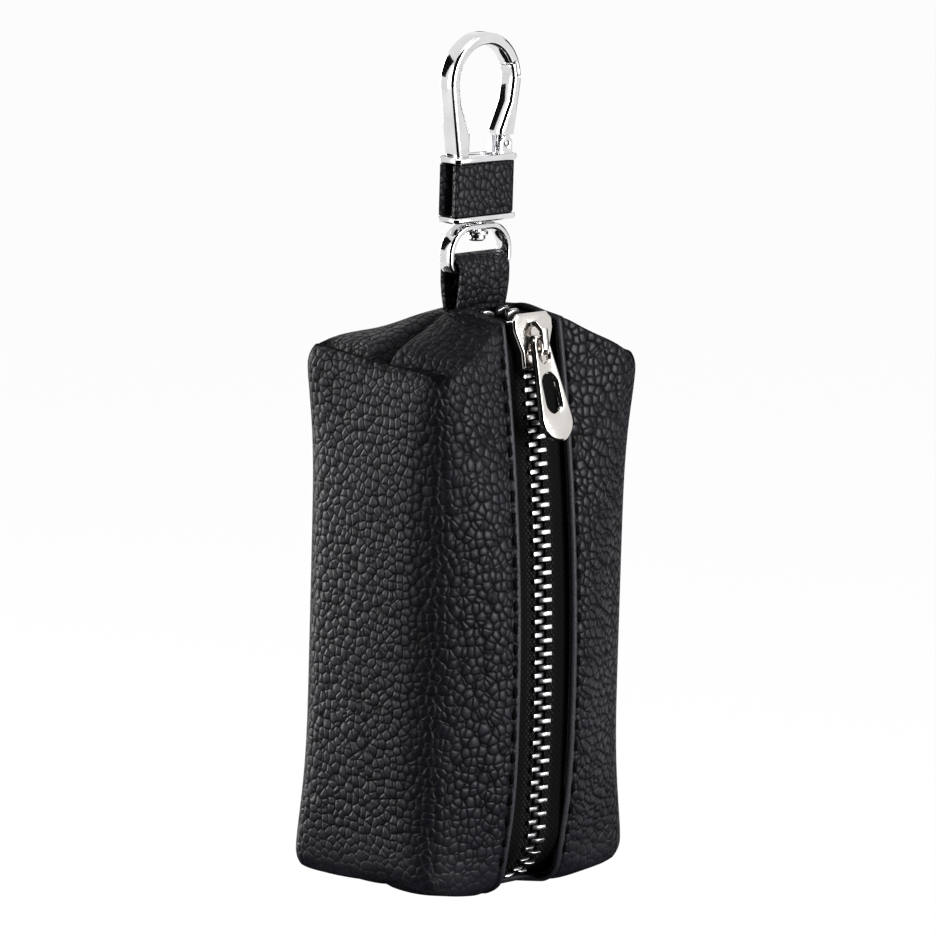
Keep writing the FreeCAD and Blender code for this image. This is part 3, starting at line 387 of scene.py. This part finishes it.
def tooth_metal():
    """Zip teeth: bright on their fronts and dark on their flanks, a painted highlight and painted shade
    set by which way each face looks.
    """
    lit_face = (0.92, 0.995)
    f = Finish("bright_teeth", metallic=1.0)
    spot = f.spot()
    on_roof = (f.part(spot, 2) * IN_MM).step(-37.0, -35.5)
    # painted highlight on faces turned to the front, and up where the teeth run over the roof; the other
    # faces get a painted shade
    wear_and_highlight = (f.facing(1) * -1.0).step(*lit_face) + f.facing(2).step(*lit_face) * on_roof
    film = f.noise(spot, 900.0, 3.0)
    f.shade(base_color=f.mixed(wear_and_highlight, opaque((0.055, 0.055, 0.058)), opaque((0.72, 0.73, 0.75))),
            roughness=0.42 - wear_and_highlight * 0.2 + (film - 0.5) * 0.1)
    return f


def woven(name, colour, pitch, on_tape):
    """Plain weave of fine thread, pitch in millimetres; on a tape the weave shows beside the teeth only,
    fading into painted shade away from them.
    """
    f = Finish(name, specular_ior_level=0.04)
    spot = f.node("ShaderNodeUVMap", {"uv_map": "UVMap"}) if on_tape else f.spot()
    turn = 2.0 * math.pi / (pitch * MM)
    first = f.part(spot, 0) * turn
    second = f.part(spot, 1 if on_tape else 2) * turn
    weave = first.sine() * second.sine() * 0.5 + 0.5
    fuzz = f.noise(f.spot(), 7000.0, 3.0, 0.65)
    pale = [c * 18.0 for c in colour]
    shown = weave.step(0.55, 0.95) * (0.4 + fuzz * 0.8)
    if on_tape:
        # painted shade: the pale threads fade out away from the teeth
        shown = shown * (1.0 - (f.part(spot, 0) * IN_MM).step(1.8, 3.0))
    f.shade(base_color=f.mixed(shown, opaque(colour), opaque(pale)),
            roughness=0.72 + (fuzz - 0.5) * 0.2,
            normal=f.bumped(weave + fuzz * 0.4, 0.7, 0.00012))
    return f


def thread_finish():
    f = Finish("black_thread", specular_ior_level=0.02)
    fuzz = f.noise(f.spot(), 6500.0, 3.0, 0.6)
    f.shade(base_color=f.mixed(fuzz, opaque((0.0003, 0.0003, 0.0004)), opaque((0.0012, 0.0012, 0.0014))),
            roughness=0.6 + (fuzz - 0.5) * 0.2, normal=f.bumped(fuzz, 0.6, 0.00005))
    return f


leather = grained_leather("pebbled_leather", 1.36, 0.33, True)
strap_leather = grained_leather("strap_leather", 1.1, 0.22)
chrome = polished("chrome_plate", (0.76, 0.76, 0.77), 0.06)
nickel = polished("warm_nickel", (0.66, 0.63, 0.60), 0.12)
steel = polished("plain_steel", (0.50, 0.51, 0.53), 0.28)
bright = tooth_metal()
tape_cloth = woven("zip_tape_cloth", (0.0008, 0.0008, 0.0009), 1.0, True)
lining_cloth = woven("lining_cloth", (0.0008, 0.0008, 0.001), 0.6, False)
thread = thread_finish()


# Lines and outlines

def lengths(points):
    """Length along a line of points, at each of them."""
    return np.concatenate([[0], np.cumsum(np.linalg.norm(np.diff(points, axis=0), axis=1))])


class Line:
    """A line of points in a plane, read by the length along it."""

    def __init__(self, points):
        self.points = np.array(points, float)
        self.runs = lengths(self.points)

    def at(self, run):
        return [np.interp(run, self.runs, self.points[:, k]) for k in (0, 1)]

    def out(self, run, reach):
        """The way square to the line, from the points a reach before and after."""
        (a1, b1), (a2, b2) = self.at(run - reach), self.at(run + reach)
        length = math.hypot(a2 - a1, b2 - b1)
        return (b2 - b1) / length, -(a2 - a1) / length


def unit(vector):
    return vector / np.linalg.norm(vector)


def rounded(corners, steps=24):
    """Points along a closed outline of (x, y, radius) corners."""
    count = len(corners)
    spot = [np.array(c[:2], float) for c in corners]
    reach, turns = [], []
    for i in range(count):
        back = spot[i - 1] - spot[i]
        on = spot[(i + 1) % count] - spot[i]
        cosine = back @ on / np.linalg.norm(back) / np.linalg.norm(on)
        turns.append(math.pi - math.acos(max(-1.0, min(1.0, cosine))))
        reach.append(corners[i][2] * math.tan(turns[-1] / 2))
    share = [1.0] * count
    for i in range(count):
        j = (i + 1) % count
        room = np.linalg.norm(spot[j] - spot[i])
        if reach[i] + reach[j] > room:
            share[i] = min(share[i], room / (reach[i] + reach[j]))
            share[j] = min(share[j], room / (reach[i] + reach[j]))
    found = []
    for i in range(count):
        r = reach[i] * share[i]
        back = unit(spot[i - 1] - spot[i])
        on = unit(spot[(i + 1) % count] - spot[i])
        first, last = spot[i] + back * r, spot[i] + on * r
        radius = r / math.tan(turns[i] / 2)
        middle = spot[i] + unit(back + on) * (radius / math.cos(turns[i] / 2))
        a, b = first - middle, last - middle
        for k in range(steps + 1):
            t = k / steps
            p = a * math.sin((1 - t) * turns[i]) + b * math.sin(t * turns[i])
            found.append(middle + p / max(math.sin(turns[i]), 1e-9))
    return np.array(found)


def mirrored(right):
    return right + [(-x, y, r) for x, y, r in reversed(right)]


def from_side(top, front, bottom):
    """The pouch's outline seen from the side, from its front half."""
    return rounded([top] + front + [bottom] + [(-y, z, r) for y, z, r in reversed(front)], 60)


def curve(along, across, wanted):
    """Values across an outline at places along it."""
    order = np.argsort(along[wanted])
    a, b = along[wanted][order], across[wanted][order]
    return lambda where: np.interp(where, a, b)


RIDGE = (0.0, -32.7, 3.0)
roof_and_belly = [(-11.918, -33.742, 2.0), (-19.368, -73.191, 321.7)]
zip_side = from_side(RIDGE, roof_and_belly + [(-16.882, -121.02, 10.0)], (0.0, -122.2, 8.0))
leather_side = from_side(RIDGE, roof_and_belly + [(-16.882, -121.2, 7.5)], (0.0, -122.3, 8.0))
front_view = rounded(mirrored([(12.0, -122.2, 15.0), (21.0, -119.3, 3.0), (22.2, -80.3, 358.0),
                               (21.0, -41.3, 3.5), (14.0, -37.1, 14.0), (6.0, -32.9, 9.0)]))
middle_plan = rounded(mirrored([(9.5, -17.95, 25.0), (21.3, -13.6, 7.0), (22.2, 0.0, 88.0),
                                (21.3, 13.6, 7.0), (9.5, 17.95, 25.0)]))
end_plan = rounded(mirrored([(9.5, -15.4, 40.0), (21.6, -14.2, 3.8), (21.7, 0.0, 120.0),
                             (21.6, 14.2, 3.8), (9.5, 15.4, 40.0)]))

leather_y, leather_z = leather_side[:, 0], leather_side[:, 1]
depth_at = curve(leather_z, -leather_y, leather_y <= 0)
front_x, front_z = front_view[:, 0], front_view[:, 1]
widest = front_z[np.argmax(front_x)]
roof_front = curve(front_x, front_z, (front_x >= 0) & (front_z > widest))
base_front = curve(front_x, front_z, (front_x >= 0) & (front_z < widest))

# The block that the pouch is pulled from. Nearer the middle than SPLIT, x stays as it is on the rim.
# A plan's corner is looked for in a box of HALF_X by PLAN_Y.
HALF_X, HALF_Y, TALL = 21.0, 13.0, 100.0
SPLIT = 10.0
PLAN_Y = 13.2


class Rim:
    """A quarter of a plan outline, from the middle of the front to the middle of the side."""

    def __init__(self, plan):
        part = plan[(plan[:, 0] >= 0) & (plan[:, 1] <= 0)]
        part = part[np.argsort(np.arctan2(part[:, 0] / HALF_X, -part[:, 1] / PLAN_Y))]
        part = np.vstack([[0.0, part[0, 1]], part, [part[-1, 0], 0.0]])
        self.x, self.y = part[:, 0], -part[:, 1]
        self.runs = lengths(part)
        self.corner = self.runs[np.argmax(self.x / HALF_X + self.y / PLAN_Y)]
        self.split = np.interp(SPLIT, self.x, self.runs)

    def spot(self, ax, ay):
        """Place on the outline for a place on the block's rim."""
        if ay >= HALF_Y - NEAR:
            if ax <= SPLIT:
                return ax, float(np.interp(ax, self.x, self.y))
            run = self.split + (ax - SPLIT) / (HALF_X - SPLIT) * (self.corner - self.split)
        else:
            run = self.runs[-1] - ay / HALF_Y * (self.runs[-1] - self.corner)
        return float(np.interp(run, self.runs, self.x)), float(np.interp(run, self.runs, self.y))


middle_rim, end_rim = Rim(middle_plan), Rim(end_plan)


# The pouch

def soft_least(a, b, k):
    m = min(a, b)
    return float(m - k * math.log(math.exp(-(a - m) / k) + math.exp(-(b - m) / k)))


def eased_step(value, low, high):
    t = min(1.0, max(0.0, (value - low) / (high - low)))
    return t * t * (3 - 2 * t)


def dent(distance, middle, spread):
    return math.exp(-((distance - middle) / spread) ** 2)


def between(where, places, values):
    return float(np.interp(where, places, values))


def upper_edge(x, y):
    """Height of the pouch's upper edge round the rim; the back flap sags lower than the front one."""
    left = x < 0
    if abs(y) < HALF_Y - NEAR:
        if left:
            lift = 1.1 * eased_step(y, -4.0, HALF_Y)
        else:
            lift = 0.6 * eased_step(-y, 0.0, HALF_Y) - 0.4
        return -41.2 + 0.4 * (1 - (y / HALF_Y) ** 2) + lift
    if y < 0:
        shoulder, corner = (-38.8, -41.2) if left else (-38.1, -41.0)
        slope = between(abs(x), [0, 6, 10, 14, 21], [-33.0, -34.3, -36.5, shoulder, corner])
        return soft_least(-34.3, slope, 0.4)
    corner = -40.1 if left else -41.6
    return between(abs(x), [0, 3, 6, 10, 14, 17, 21],
                   [-37.7, -38.0, -38.3, -38.5, -38.8, -39.3, corner])


def lower_edge(x, y):
    """Height of the pouch's lower edge; the left side lifts at its pleat."""
    if abs(y) < HALF_Y - NEAR:
        if x < 0:
            return between(y, [-13, -11, -8, -6, -4, 0, 5, 9, 13],
                           [-119.4, -119.0, -118.4, -118.5, -119.0, -119.4, -119.8, -119.9, -119.6])
        return between(y, [-13, 0, 13], [-119.1, -119.2, -119.6])
    if y > 0:
        return between(abs(x), [0, 10, 14, 18, 21], [-121.6, -121.2, -120.6, -120.1, -119.6])
    return between(x, [-21, -17, -14, -10.5, -6, 4, 8, 10, 12, 14, 16, 18, 20, 21],
                   [-119.5, -119.9, -120.4, -120.8, -121.3, -121.2, -121.0, -120.7,
                    -120.4, -120.2, -120.0, -119.8, -119.4, -119.1])


def wall_spot(x, y, share):
    """Place on the pouch's wall; share runs from the lower edge to the upper one."""
    low, top = lower_edge(x, y), upper_edge(x, y)
    z = low + share * (top - low)
    # the plan goes from its full middle to its pinched ends
    pinch = min(1.0, dent(top - z, 0.0, 11.0) + dent(z - low, 0.0, 12.0))
    (mx, my), (ex, ey) = middle_rim.spot(abs(x), abs(y)), end_rim.spot(abs(x), abs(y))
    px, py = mx + (ex - mx) * pinch, my + (ey - my) * pinch
    # beside the zip the wall follows the side outline, and nearer the corners the plan alone
    free = eased_step(px, 7.0, 18.5)
    dy = (1 - free) * soft_least(py, float(depth_at(z)), 0.25) + free * py
    if px > SPLIT:
        px = soft_least(px, 21.45 + 0.8 * (1 - ((z + 80.3) / 39.0) ** 2), 0.2)
    # two of the corners, across from each other, flare at their ends
    if x * y < 0:
        flare = 0.55 * pinch * eased_step(px, 13.0, 20.5) * eased_step(py, 4.0, 12.0)
        px, dy = px + flare, dy + flare
    # the rims roll in
    roll = max(0.0, 1 - (top - z) / 2.6) ** 2 * 0.8 + max(0.0, 1 - (z - low) / 2.4) ** 2 * 0.8
    px -= roll * eased_step(px, 16.0, 20.0)
    dy -= roll * 0.7 * free * eased_step(px, 11.0, 16.0)
    return math.copysign(px, x) if x else 0.0, math.copysign(dy, y) if y else 0.0, z


# Distances in from the side of the roof or the bottom, across its tuck.
TUCK_LINES = [0.0, 0.45, 0.85, 1.25, 1.8, 2.4, 3.5, 4.8]


def roof_height(x, px, py, share, rim_z, side_z):
    """Height of the roof, with the valley of its seam and its tucked sides."""
    inside = HALF_X - abs(x)
    ridge = float(roof_front(abs(px)))
    ridge -= between(abs(px), [0, 4, 7, 10, 14, 18, 21], [0.4, 0.7, 1.0, 1.0, 0.6, 0.2, 0.0])
    z = ridge + (rim_z - ridge) * share ** (2.4 if py < 0 else 1.25)
    z += (side_z - z) * (1 - eased_step(inside, 0.0, 3.5))
    z += (0.45 * dent(py, -5.0, 3.0) + 0.1 * dent(py, 7.0, 3.0)) * min(1.0, inside / 5.0)
    valley = eased_step(py, -0.9, 0.4) * (1 - eased_step(py, 0.6, 4.2))
    z -= (1.1 + 1.5 * min(1.0, abs(px) / 15.0)) * valley * eased_step(inside, 0.5, 3.0)
    raised = -0.5 if x < 0 else -0.2
    tuck = between(inside, TUCK_LINES, [0.0, raised, -0.2, 1.5, 3.1, 2.8, 0.5, 0.0])
    return z - (0.5 + 0.5 * share ** 2) * tuck


def base_height(x, y, px, py, share, rim_z, side_z):
    """Height of the bottom, with its seam drawn up and its tucked sides."""
    inside = HALF_X - abs(x)
    keel = float(base_front(abs(px)))
    z = keel + (rim_z - keel) * share ** 2.4
    z += (side_z - z) * (1 - eased_step(inside, 0.0, 3.5))
    z += 1.5 * max(0.0, 1.0 - abs(py) / 2.6) ** 1.6 * min(1.0, inside / 5.0)
    z -= 0.3 * dent(abs(y), 5.0, 3.0) * min(1.0, inside / 5.0)
    return z + between(inside, TUCK_LINES, [0.0, -0.25, 0.1, 1.6, 1.7, 0.7, 0.1, 0.0])


def end_spot(x, y, up):
    """Place on the roof or the bottom."""
    share = abs(y) / HALF_Y
    edge = 1.0 if up else 0.0
    rim_x, rim_y, rim_z = wall_spot(x, math.copysign(HALF_Y, y), edge)
    side_x, _, _ = wall_spot(math.copysign(HALF_X, x), 0.0, edge)
    _, _, side_z = wall_spot(math.copysign(HALF_X, x), y, edge)
    middle_x = x
    if abs(x) > SPLIT:
        outer = (abs(x) - SPLIT) / (HALF_X - SPLIT) * (abs(side_x) - SPLIT)
        middle_x = math.copysign(SPLIT + outer, x)
    px = middle_x + (rim_x - middle_x) * share ** 2
    py = rim_y * share
    if up:
        return px, py, roof_height(x, px, py, share, rim_z, side_z)
    return px, py, base_height(x, y, px, py, share, rim_z, side_z)


# The slot for the zip: half its width, how near the ridge it ends, and how near the front its lower
# end stops at a tongue of leather. The lining has no bead, so it goes without the bead's lines.
SLOT = 5.3
SLOT_END = 3.2
TONGUE_END = 11.2
BEAD_LINES = (5.55, 5.95, 6.65, 6.95)
edge_lines = [SLOT, 5.55, 5.95, 6.35, 6.65, 6.95, 7.5, 8.6]


def both_ways(places):
    return sorted([0.0] + [side * place for side in (-1, 1) for place in places])


x_lines = both_ways(edge_lines + [2.6, 10.0, 12.2, 14.4, 16.2, 17.5, 18.6, 19.2, 19.75, 20.15, 20.55])
y_lines = both_ways([0.3, 0.8, 1.5, 2.3, SLOT_END, 4.6, 6.2, 8.0, 9.8, TONGUE_END, 12.0, 12.6])
z_lines = [0.004, 0.012, 0.025, 0.045, 0.075, 0.115] + [0.16 + 0.0567 * k for k in range(13)] \
    + [0.885, 0.925, 0.952, 0.972, 0.986, 0.995]
MIDDLE_SPOT = np.array([0.0, 0.0, -79.0])


def bead(ax):
    """How far the turned edge stands out, by distance from the middle of the zip."""
    return between(ax, edge_lines + [10.0, 12.2],
                   [-0.30, 0.18, 0.30, 0.16, -0.06, 0.06, 0.16, 0.22, 0.16, 0.0])


def pouch_sheet(name, slot, shrink=None):
    """The pouch as one sheet: a block cut into strips, slit for the zip and pulled to form."""
    piece = primitive("cube", name, size=1.0)
    piece.scale = (HALF_X * 2, HALF_Y * 2, TALL)
    settle(piece)
    lines = [v for v in x_lines if abs(v) not in BEAD_LINES] if shrink else x_lines
    cut_lines(piece, 0, [math.copysign(slot, v) if abs(v) == SLOT else v for v in lines])
    cut_lines(piece, 1, y_lines)
    cut_lines(piece, 2, [(v - 0.5) * TALL for v in z_lines])
    bottom = 0.01 - TALL / 2

    def in_slot(middle):
        """Over the zip, down to the tongue under the bottom."""
        end = SLOT_END if middle.z > bottom else TONGUE_END
        return abs(middle.x) < slot and middle.y < -end

    drop_faces(piece, in_slot)
    flat = spots(piece)
    formed = np.empty_like(flat)
    for i, (x, y, z) in enumerate(flat):
        x, y = round(float(x), 4), round(float(y), 4)
        if abs(x) > HALF_X - NEAR or abs(y) > HALF_Y - NEAR:
            formed[i] = wall_spot(x, y, z / TALL + 0.5)
        else:
            formed[i] = end_spot(x, y, z > 0)
    place_spots(piece, formed)
    face_out(piece)
    if shrink:
        formed = MIDDLE_SPOT + (formed - MIDDLE_SPOT) * shrink
    else:
        ways = np.array([v.normal for v in piece.data.vertices])
        lift = np.array([bead(abs(x)) if y < -SLOT_END - 0.01 else 0.0 for x, y, z in flat])
        formed = formed + ways * lift[:, None]
    place_spots(piece, formed * MM)
    return piece


pouch = pouch_sheet("leather_pouch", SLOT)
work(pouch, "SOLIDIFY", thickness=1.3 * MM, offset=-1.0)
work(pouch, "SUBSURF", levels=1, render_levels=1)
smooth(pouch)
put_on(pouch, leather)
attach(pouch, "case")
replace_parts(pouch, "leather_shell")

bag = pouch_sheet("cloth_lining", 6.35, (0.905, 0.875, 0.925))
work(bag, "SOLIDIFY", thickness=0.4 * MM, offset=-1.0)
smooth(bag)
put_on(bag, lining_cloth)
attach(bag, "case")
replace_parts(bag, "lining")


# The zip

front_half = zip_side[zip_side[:, 0] <= 1e-6]
zip_line = Line(front_half[np.argsort(-front_half[:, 1])])
# Where the tapes begin and end along the front, from the ridge, and the reach that gives the way out.
ZIP_FROM, ZIP_TO = 4.0, zip_line.runs[-1] - 3.4
ZIP_REACH = 0.6
# How far a tape lies behind the leather's face, its outer edge, and its width.
TAPE_IN, TAPE_EDGE, TAPE_WIDE = 1.55, 8.3, 7.2


def half_tape(name, side):
    """One woven tape with a corded edge, laid along the zip and spread where it passes over the roof."""
    piece = primitive("grid", name, x_subdivisions=14, y_subdivisions=120, size=2.0)
    flat = spots(piece)
    formed = np.empty_like(flat)
    for i, (u, v, _) in enumerate(flat):
        run = ZIP_FROM + (v + 1) / 2 * (ZIP_TO - ZIP_FROM)
        near = 1.15 + 1.5 * between(run, [13.0, 17.0], [1.0, 0.0])
        across = near + ((u + 1) / 2) ** 1.3 * (TAPE_EDGE - near)
        inset = TAPE_IN - 0.22 * dent(across - near, 0.25, 0.35)
        (y, z), out = zip_line.at(run), zip_line.out(run, ZIP_REACH)
        formed[i] = (side * across, y - out[0] * inset, z - out[1] * inset)
    layer = piece.data.uv_layers.active
    for loop in piece.data.loops:
        u, v = flat[loop.vertex_index][:2]
        layer.data[loop.index].uv = ((u + 1) / 2 * TAPE_WIDE * MM,
                                     (v + 1) / 2 * (ZIP_TO - ZIP_FROM) * MM)
    place_spots(piece, formed * MM)
    face_out(piece)
    work(piece, "SOLIDIFY", thickness=0.45 * MM, offset=0.0)
    smooth(piece, 40)
    put_on(piece, tape_cloth)
    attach(piece, "case")
    return piece


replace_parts(half_tape("tape_left", -1), "zip_tape_left")
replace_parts(half_tape("tape_right", 1), "zip_tape_right")


def leather_face(x, z):
    """How far back the front leather lies at a height, beside the zip."""
    low, top = lower_edge(x, -HALF_Y), upper_edge(x, -HALF_Y)
    return wall_spot(x, -HALF_Y, (z - low) / (top - low))[1]


STITCH_FROM, STITCH_TO = 16.6, ZIP_TO - 6.0
STITCH_PITCH, STITCH_LONG, STITCH_X = 3.3, 1.7, 6.68


def stitch_row(name, side):
    """Top stitches in the groove beside the turned edge."""
    made = []
    run = STITCH_FROM
    while run < STITCH_TO:
        piece = primitive("cylinder", name, vertices=10, radius=0.44 * MM, depth=STITCH_LONG * MM)
        open_mesh(piece)
        bpy.ops.mesh.bevel(offset=0.3 * MM, segments=3)
        close_mesh()
        where = spots(piece) / MM
        middle = run + STITCH_PITCH / 2
        (y, z), out = zip_line.at(middle), zip_line.out(middle, ZIP_REACH)
        y = max(y, leather_face(side * STITCH_X, z)) - 0.06
        down = (-out[1], out[0]) if out[0] < 0 else (out[1], -out[0])
        sag = (np.abs(where[:, 2]) / (STITCH_LONG / 2)) ** 2 * 0.28
        turned = np.empty_like(where)
        turned[:, 0] = side * STITCH_X + where[:, 0]
        turned[:, 1] = y + out[0] * (where[:, 1] - sag) + down[0] * where[:, 2]
        turned[:, 2] = z + out[1] * (where[:, 1] - sag) + down[1] * where[:, 2]
        place_spots(piece, turned * MM)
        made.append(piece)
        run += STITCH_PITCH
    row = joined(name, made)
    face_out(row)
    smooth(row, 50)
    put_on(row, thread)
    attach(row, "case")
    return row


stitch_row("stitches_left", -1)
stitch_row("stitches_right", 1)


# Leather strips

def strip(name, points, low, high, thick, flat_axis, columns=10, waist=0.0):
    """A strip of leather along a line of points; flat_axis is the axis across it, from low to high."""
    line = Line(points)
    length = line.runs[-1]
    rows = max(24, int(length / 0.6))
    piece = primitive("grid", name, x_subdivisions=columns, y_subdivisions=rows, size=2.0)
    flat = spots(piece)
    formed = np.empty_like(flat)
    middle, half = (low + high) / 2, (high - low) / 2
    for i, (u, v, _) in enumerate(flat):
        a, b = line.at((v + 1) / 2 * length)
        across = middle + u * (half - waist * dent(abs(v), 1.0, 0.25))
        formed[i] = (across, a, b) if flat_axis == 0 else (a, b, across)
    place_spots(piece, formed * MM)
    face_out(piece)
    work(piece, "SOLIDIFY", thickness=thick * MM, offset=0.0)
    work(piece, "BEVEL", width=0.22 * MM, segments=3, limit_method="ANGLE",
         angle_limit=math.radians(50))
    smooth(piece, 45)
    return piece


def arc(middle, radius, start, end, count=18):
    """Points of an arc, angles in degrees from the first axis."""
    angles = [math.radians(start + (end - start) * k / count) for k in range(count + 1)]
    return [(middle[0] + radius * math.cos(a), middle[1] + radius * math.sin(a)) for a in angles]


BAR_Z = -28.25
KEY_RING_Z = -47.0

hanger = strip("hanger_strap",
               [(-1.15, -36.8), (-1.35, -34.2), (-1.75, -32.0), (-1.98, -30.2)]
               + arc((0.0, BAR_Z), 2.02, 180.0, 0.0)
               + [(1.98, -30.2), (1.75, -32.0), (1.35, -34.2), (1.15, -36.8)],
               -4.95, 4.95, 0.95, 0, 12, 0.25)
put_on(hanger, strap_leather)
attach(hanger, "case")
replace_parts(hanger, "hanger_loop")

wrap = strip("clasp_wrap",
             [(-6.15, -1.22), (-5.6, -1.40), (-4.6, -1.42), (4.2, -1.42)]
             + arc((4.75, 0.0), 1.42, -90.0, 90.0)
             + [(4.2, 1.42), (-4.6, 1.42), (-5.6, 1.40), (-6.15, 1.22)],
             -20.02, -12.18, 1.2, 2, 10)
put_on(wrap, strap_leather)
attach(wrap, "clasp")
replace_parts(wrap, "leather_wrap")

key_strap = strip("key_strap_fold",
                  [(-0.9, -34.7), (-0.9, -43.6), (-1.5, -45.0)]
                  + arc((0.0, KEY_RING_Z), 2.3, 140.0, 400.0)
                  + [(1.5, -45.0), (0.9, -43.6), (0.9, -34.7)],
                  -2.95, 2.95, 0.95, 0, 8)
put_on(key_strap, strap_leather)
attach(key_strap, "case")
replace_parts(key_strap, "key_strap")


# Metal of the frame

def eased(node, finish, width):
    """A CAD node with its hard edges eased by a width, and a metal finish."""
    piece = nodes[node]
    put_on(piece, finish)
    weld = piece.modifiers.new("weld", "WELD")
    weld.merge_threshold = 0.002 * MM
    if width:
        bevel = piece.modifiers.new("ease", "BEVEL")
        bevel.width = width * MM
        bevel.segments = 2
        bevel.limit_method = "ANGLE"
        bevel.angle_limit = math.radians(28)
        bevel.harden_normals = False
    smooth(piece, 30)


for finish, slot, width, metal in (
        (chrome, "chrome", 0.14, ("hook", "gate")),
        (chrome, "chrome", 0.06, ("upper_plate", "lower_plate")),
        (chrome, "chrome", 0.08, ("swivel_rivet", "swivel_washer")),
        (chrome, "chrome", 0.10, ("swivel_ring",)),
        (nickel, "nickel", 0.10, ("slider", "pull_tab")),
        (nickel, "nickel", 0.0, ("key_ring", "strap_rivet")),
        (steel, "steel", 0.0, ("gate_pin", "gate_spring", "clasp_core")),
        (bright, "teeth", 0.19, ("zip_teeth_left", "zip_teeth_right"))):
    for node in metal:
        eased(node, finish, width)


# Studio, in metres

MIDDLE = Vector((0.0, 0.0, -0.065))
FLOOR_Z, STRIP_Z = -0.19, -0.182

floor = primitive("plane", "floor", size=6.0, location=(0.0, 0.0, FLOOR_Z))
pale = Finish("pale_floor", roughness=0.9, specular_ior_level=0.1)
pale.shade(base_color=pale.mixed(pale.noise(pale.spot(), 3.0),
                                 (0.90, 0.90, 0.90, 1.0), (0.92, 0.92, 0.92, 1.0)))
pale.cover(pale.seen_white() * 0.95, pale.node("ShaderNodeEmission", None, {"Color": WHITE}))
floor.data.materials.append(pale.material)

world = bpy.data.worlds.new("studio")
bpy.context.scene.world = world
world.use_nodes = True
air = Nodes(world.node_tree)
backdrop = air.tree.nodes["Background"]
air.feed(backdrop.inputs["Color"], WHITE)
air.feed(backdrop.inputs["Strength"],
         air.node("ShaderNodeMapRange", None,
                  {"Value": air.seen_white(), "To Min": 0.4, "To Max": 1.0}))


def way_out(azimuth, elevation):
    """The way out from the object; azimuth 0 is the front and 90 its right side."""
    a, e = math.radians(azimuth), math.radians(elevation)
    return Vector((math.sin(a) * math.cos(e), -math.cos(a) * math.cos(e), math.sin(e)))


def face_middle(thing, azimuth, elevation, distance):
    """Stand a light or a card off the object, turned to its middle."""
    away = way_out(azimuth, elevation)
    thing.location = MIDDLE + away * distance
    thing.rotation_mode = "QUATERNION"
    thing.rotation_quaternion = away.to_track_quat("Z", "Y")


def softbox(name, azimuth, elevation, distance, width, height, power):
    """A soft light, turned to the object's middle."""
    lamp = bpy.data.lights.new(name, "AREA")
    lamp.shape = "RECTANGLE"
    lamp.size, lamp.size_y = width, height
    lamp.energy = power
    lit = bpy.data.objects.new(name, lamp)
    bpy.context.scene.collection.objects.link(lit)
    face_middle(lit, azimuth, elevation, distance)
    lit.visible_camera = False


softbox("left_softbox", -114.0, 12.0, 0.60, 0.26, 0.45, 3.6)
softbox("front_softbox", 22.0, 16.0, 0.60, 0.26, 0.50, 7.4)
softbox("rim_softbox", -172.0, 8.0, 0.60, 0.20, 0.45, 3.0)
softbox("top_softbox", -30.0, 75.0, 0.60, 0.40, 0.40, 0.5)

black = Finish("black_card", base_color=(0.004, 0.004, 0.004, 1.0), roughness=1.0,
               specular_ior_level=0.0)


def only_reflected(card):
    """The card is black, and shows in reflections and nowhere else."""
    settle(card)
    card.visible_camera = False
    card.visible_shadow = False
    card.visible_diffuse = False
    card.data.materials.append(black.material)


def dark_card(name, azimuth, elevation, distance, width, height):
    """A black studio card, turned to the object's middle."""
    card = primitive("plane", name, size=1.0)
    card.scale = (width, height, 1.0)
    face_middle(card, azimuth, elevation, distance)
    only_reflected(card)


def floor_strip(name, azimuth, near, far, width):
    """A card that lies just over the floor, from near to far along an azimuth."""
    card = primitive("plane", name, size=1.0)
    card.scale = (width, far - near, 1.0)
    card.location = way_out(azimuth, 0.0) * (near + far) / 2 + Vector((0.0, 0.0, STRIP_Z))
    card.rotation_euler = (0.0, 0.0, math.radians(azimuth))
    only_reflected(card)


dark_card("camera_card", -45.0, 24.0, 0.66, 1.0, 0.96)
dark_card("side_card", 96.0, 4.0, 0.70, 0.80, 0.46)
dark_card("upper_card", -147.0, 24.0, 0.70, 0.30, 0.38)
dark_card("back_card", 143.0, -4.0, 0.70, 0.46, 0.36)
dark_card("floor_card", 0.0, -90.0, 0.115, 0.36, 0.36)
floor_strip("near_card", -45.0, 0.10, 0.90, 0.30)

lens = bpy.data.cameras.new("view")
lens.sensor_width = 36.0
lens.lens = 255.0
lens.shift_x = -0.0015
lens.clip_start, lens.clip_end = 0.05, 20.0
camera = bpy.data.objects.new("view", lens)
bpy.context.scene.collection.objects.link(camera)
aim = Vector((0.0, 0.0, -0.0588))
back = way_out(-44.75, 10.39)
roll = Matrix.Rotation(math.radians(1.64), 3, "Z").to_quaternion()
camera.location = aim + back * 1.0
camera.rotation_mode = "QUATERNION"
camera.rotation_quaternion = (-back).to_track_quat("-Z", "Y") @ roll
bpy.context.scene.camera = camera
bpy.context.scene.view_settings.view_transform = "Standard"
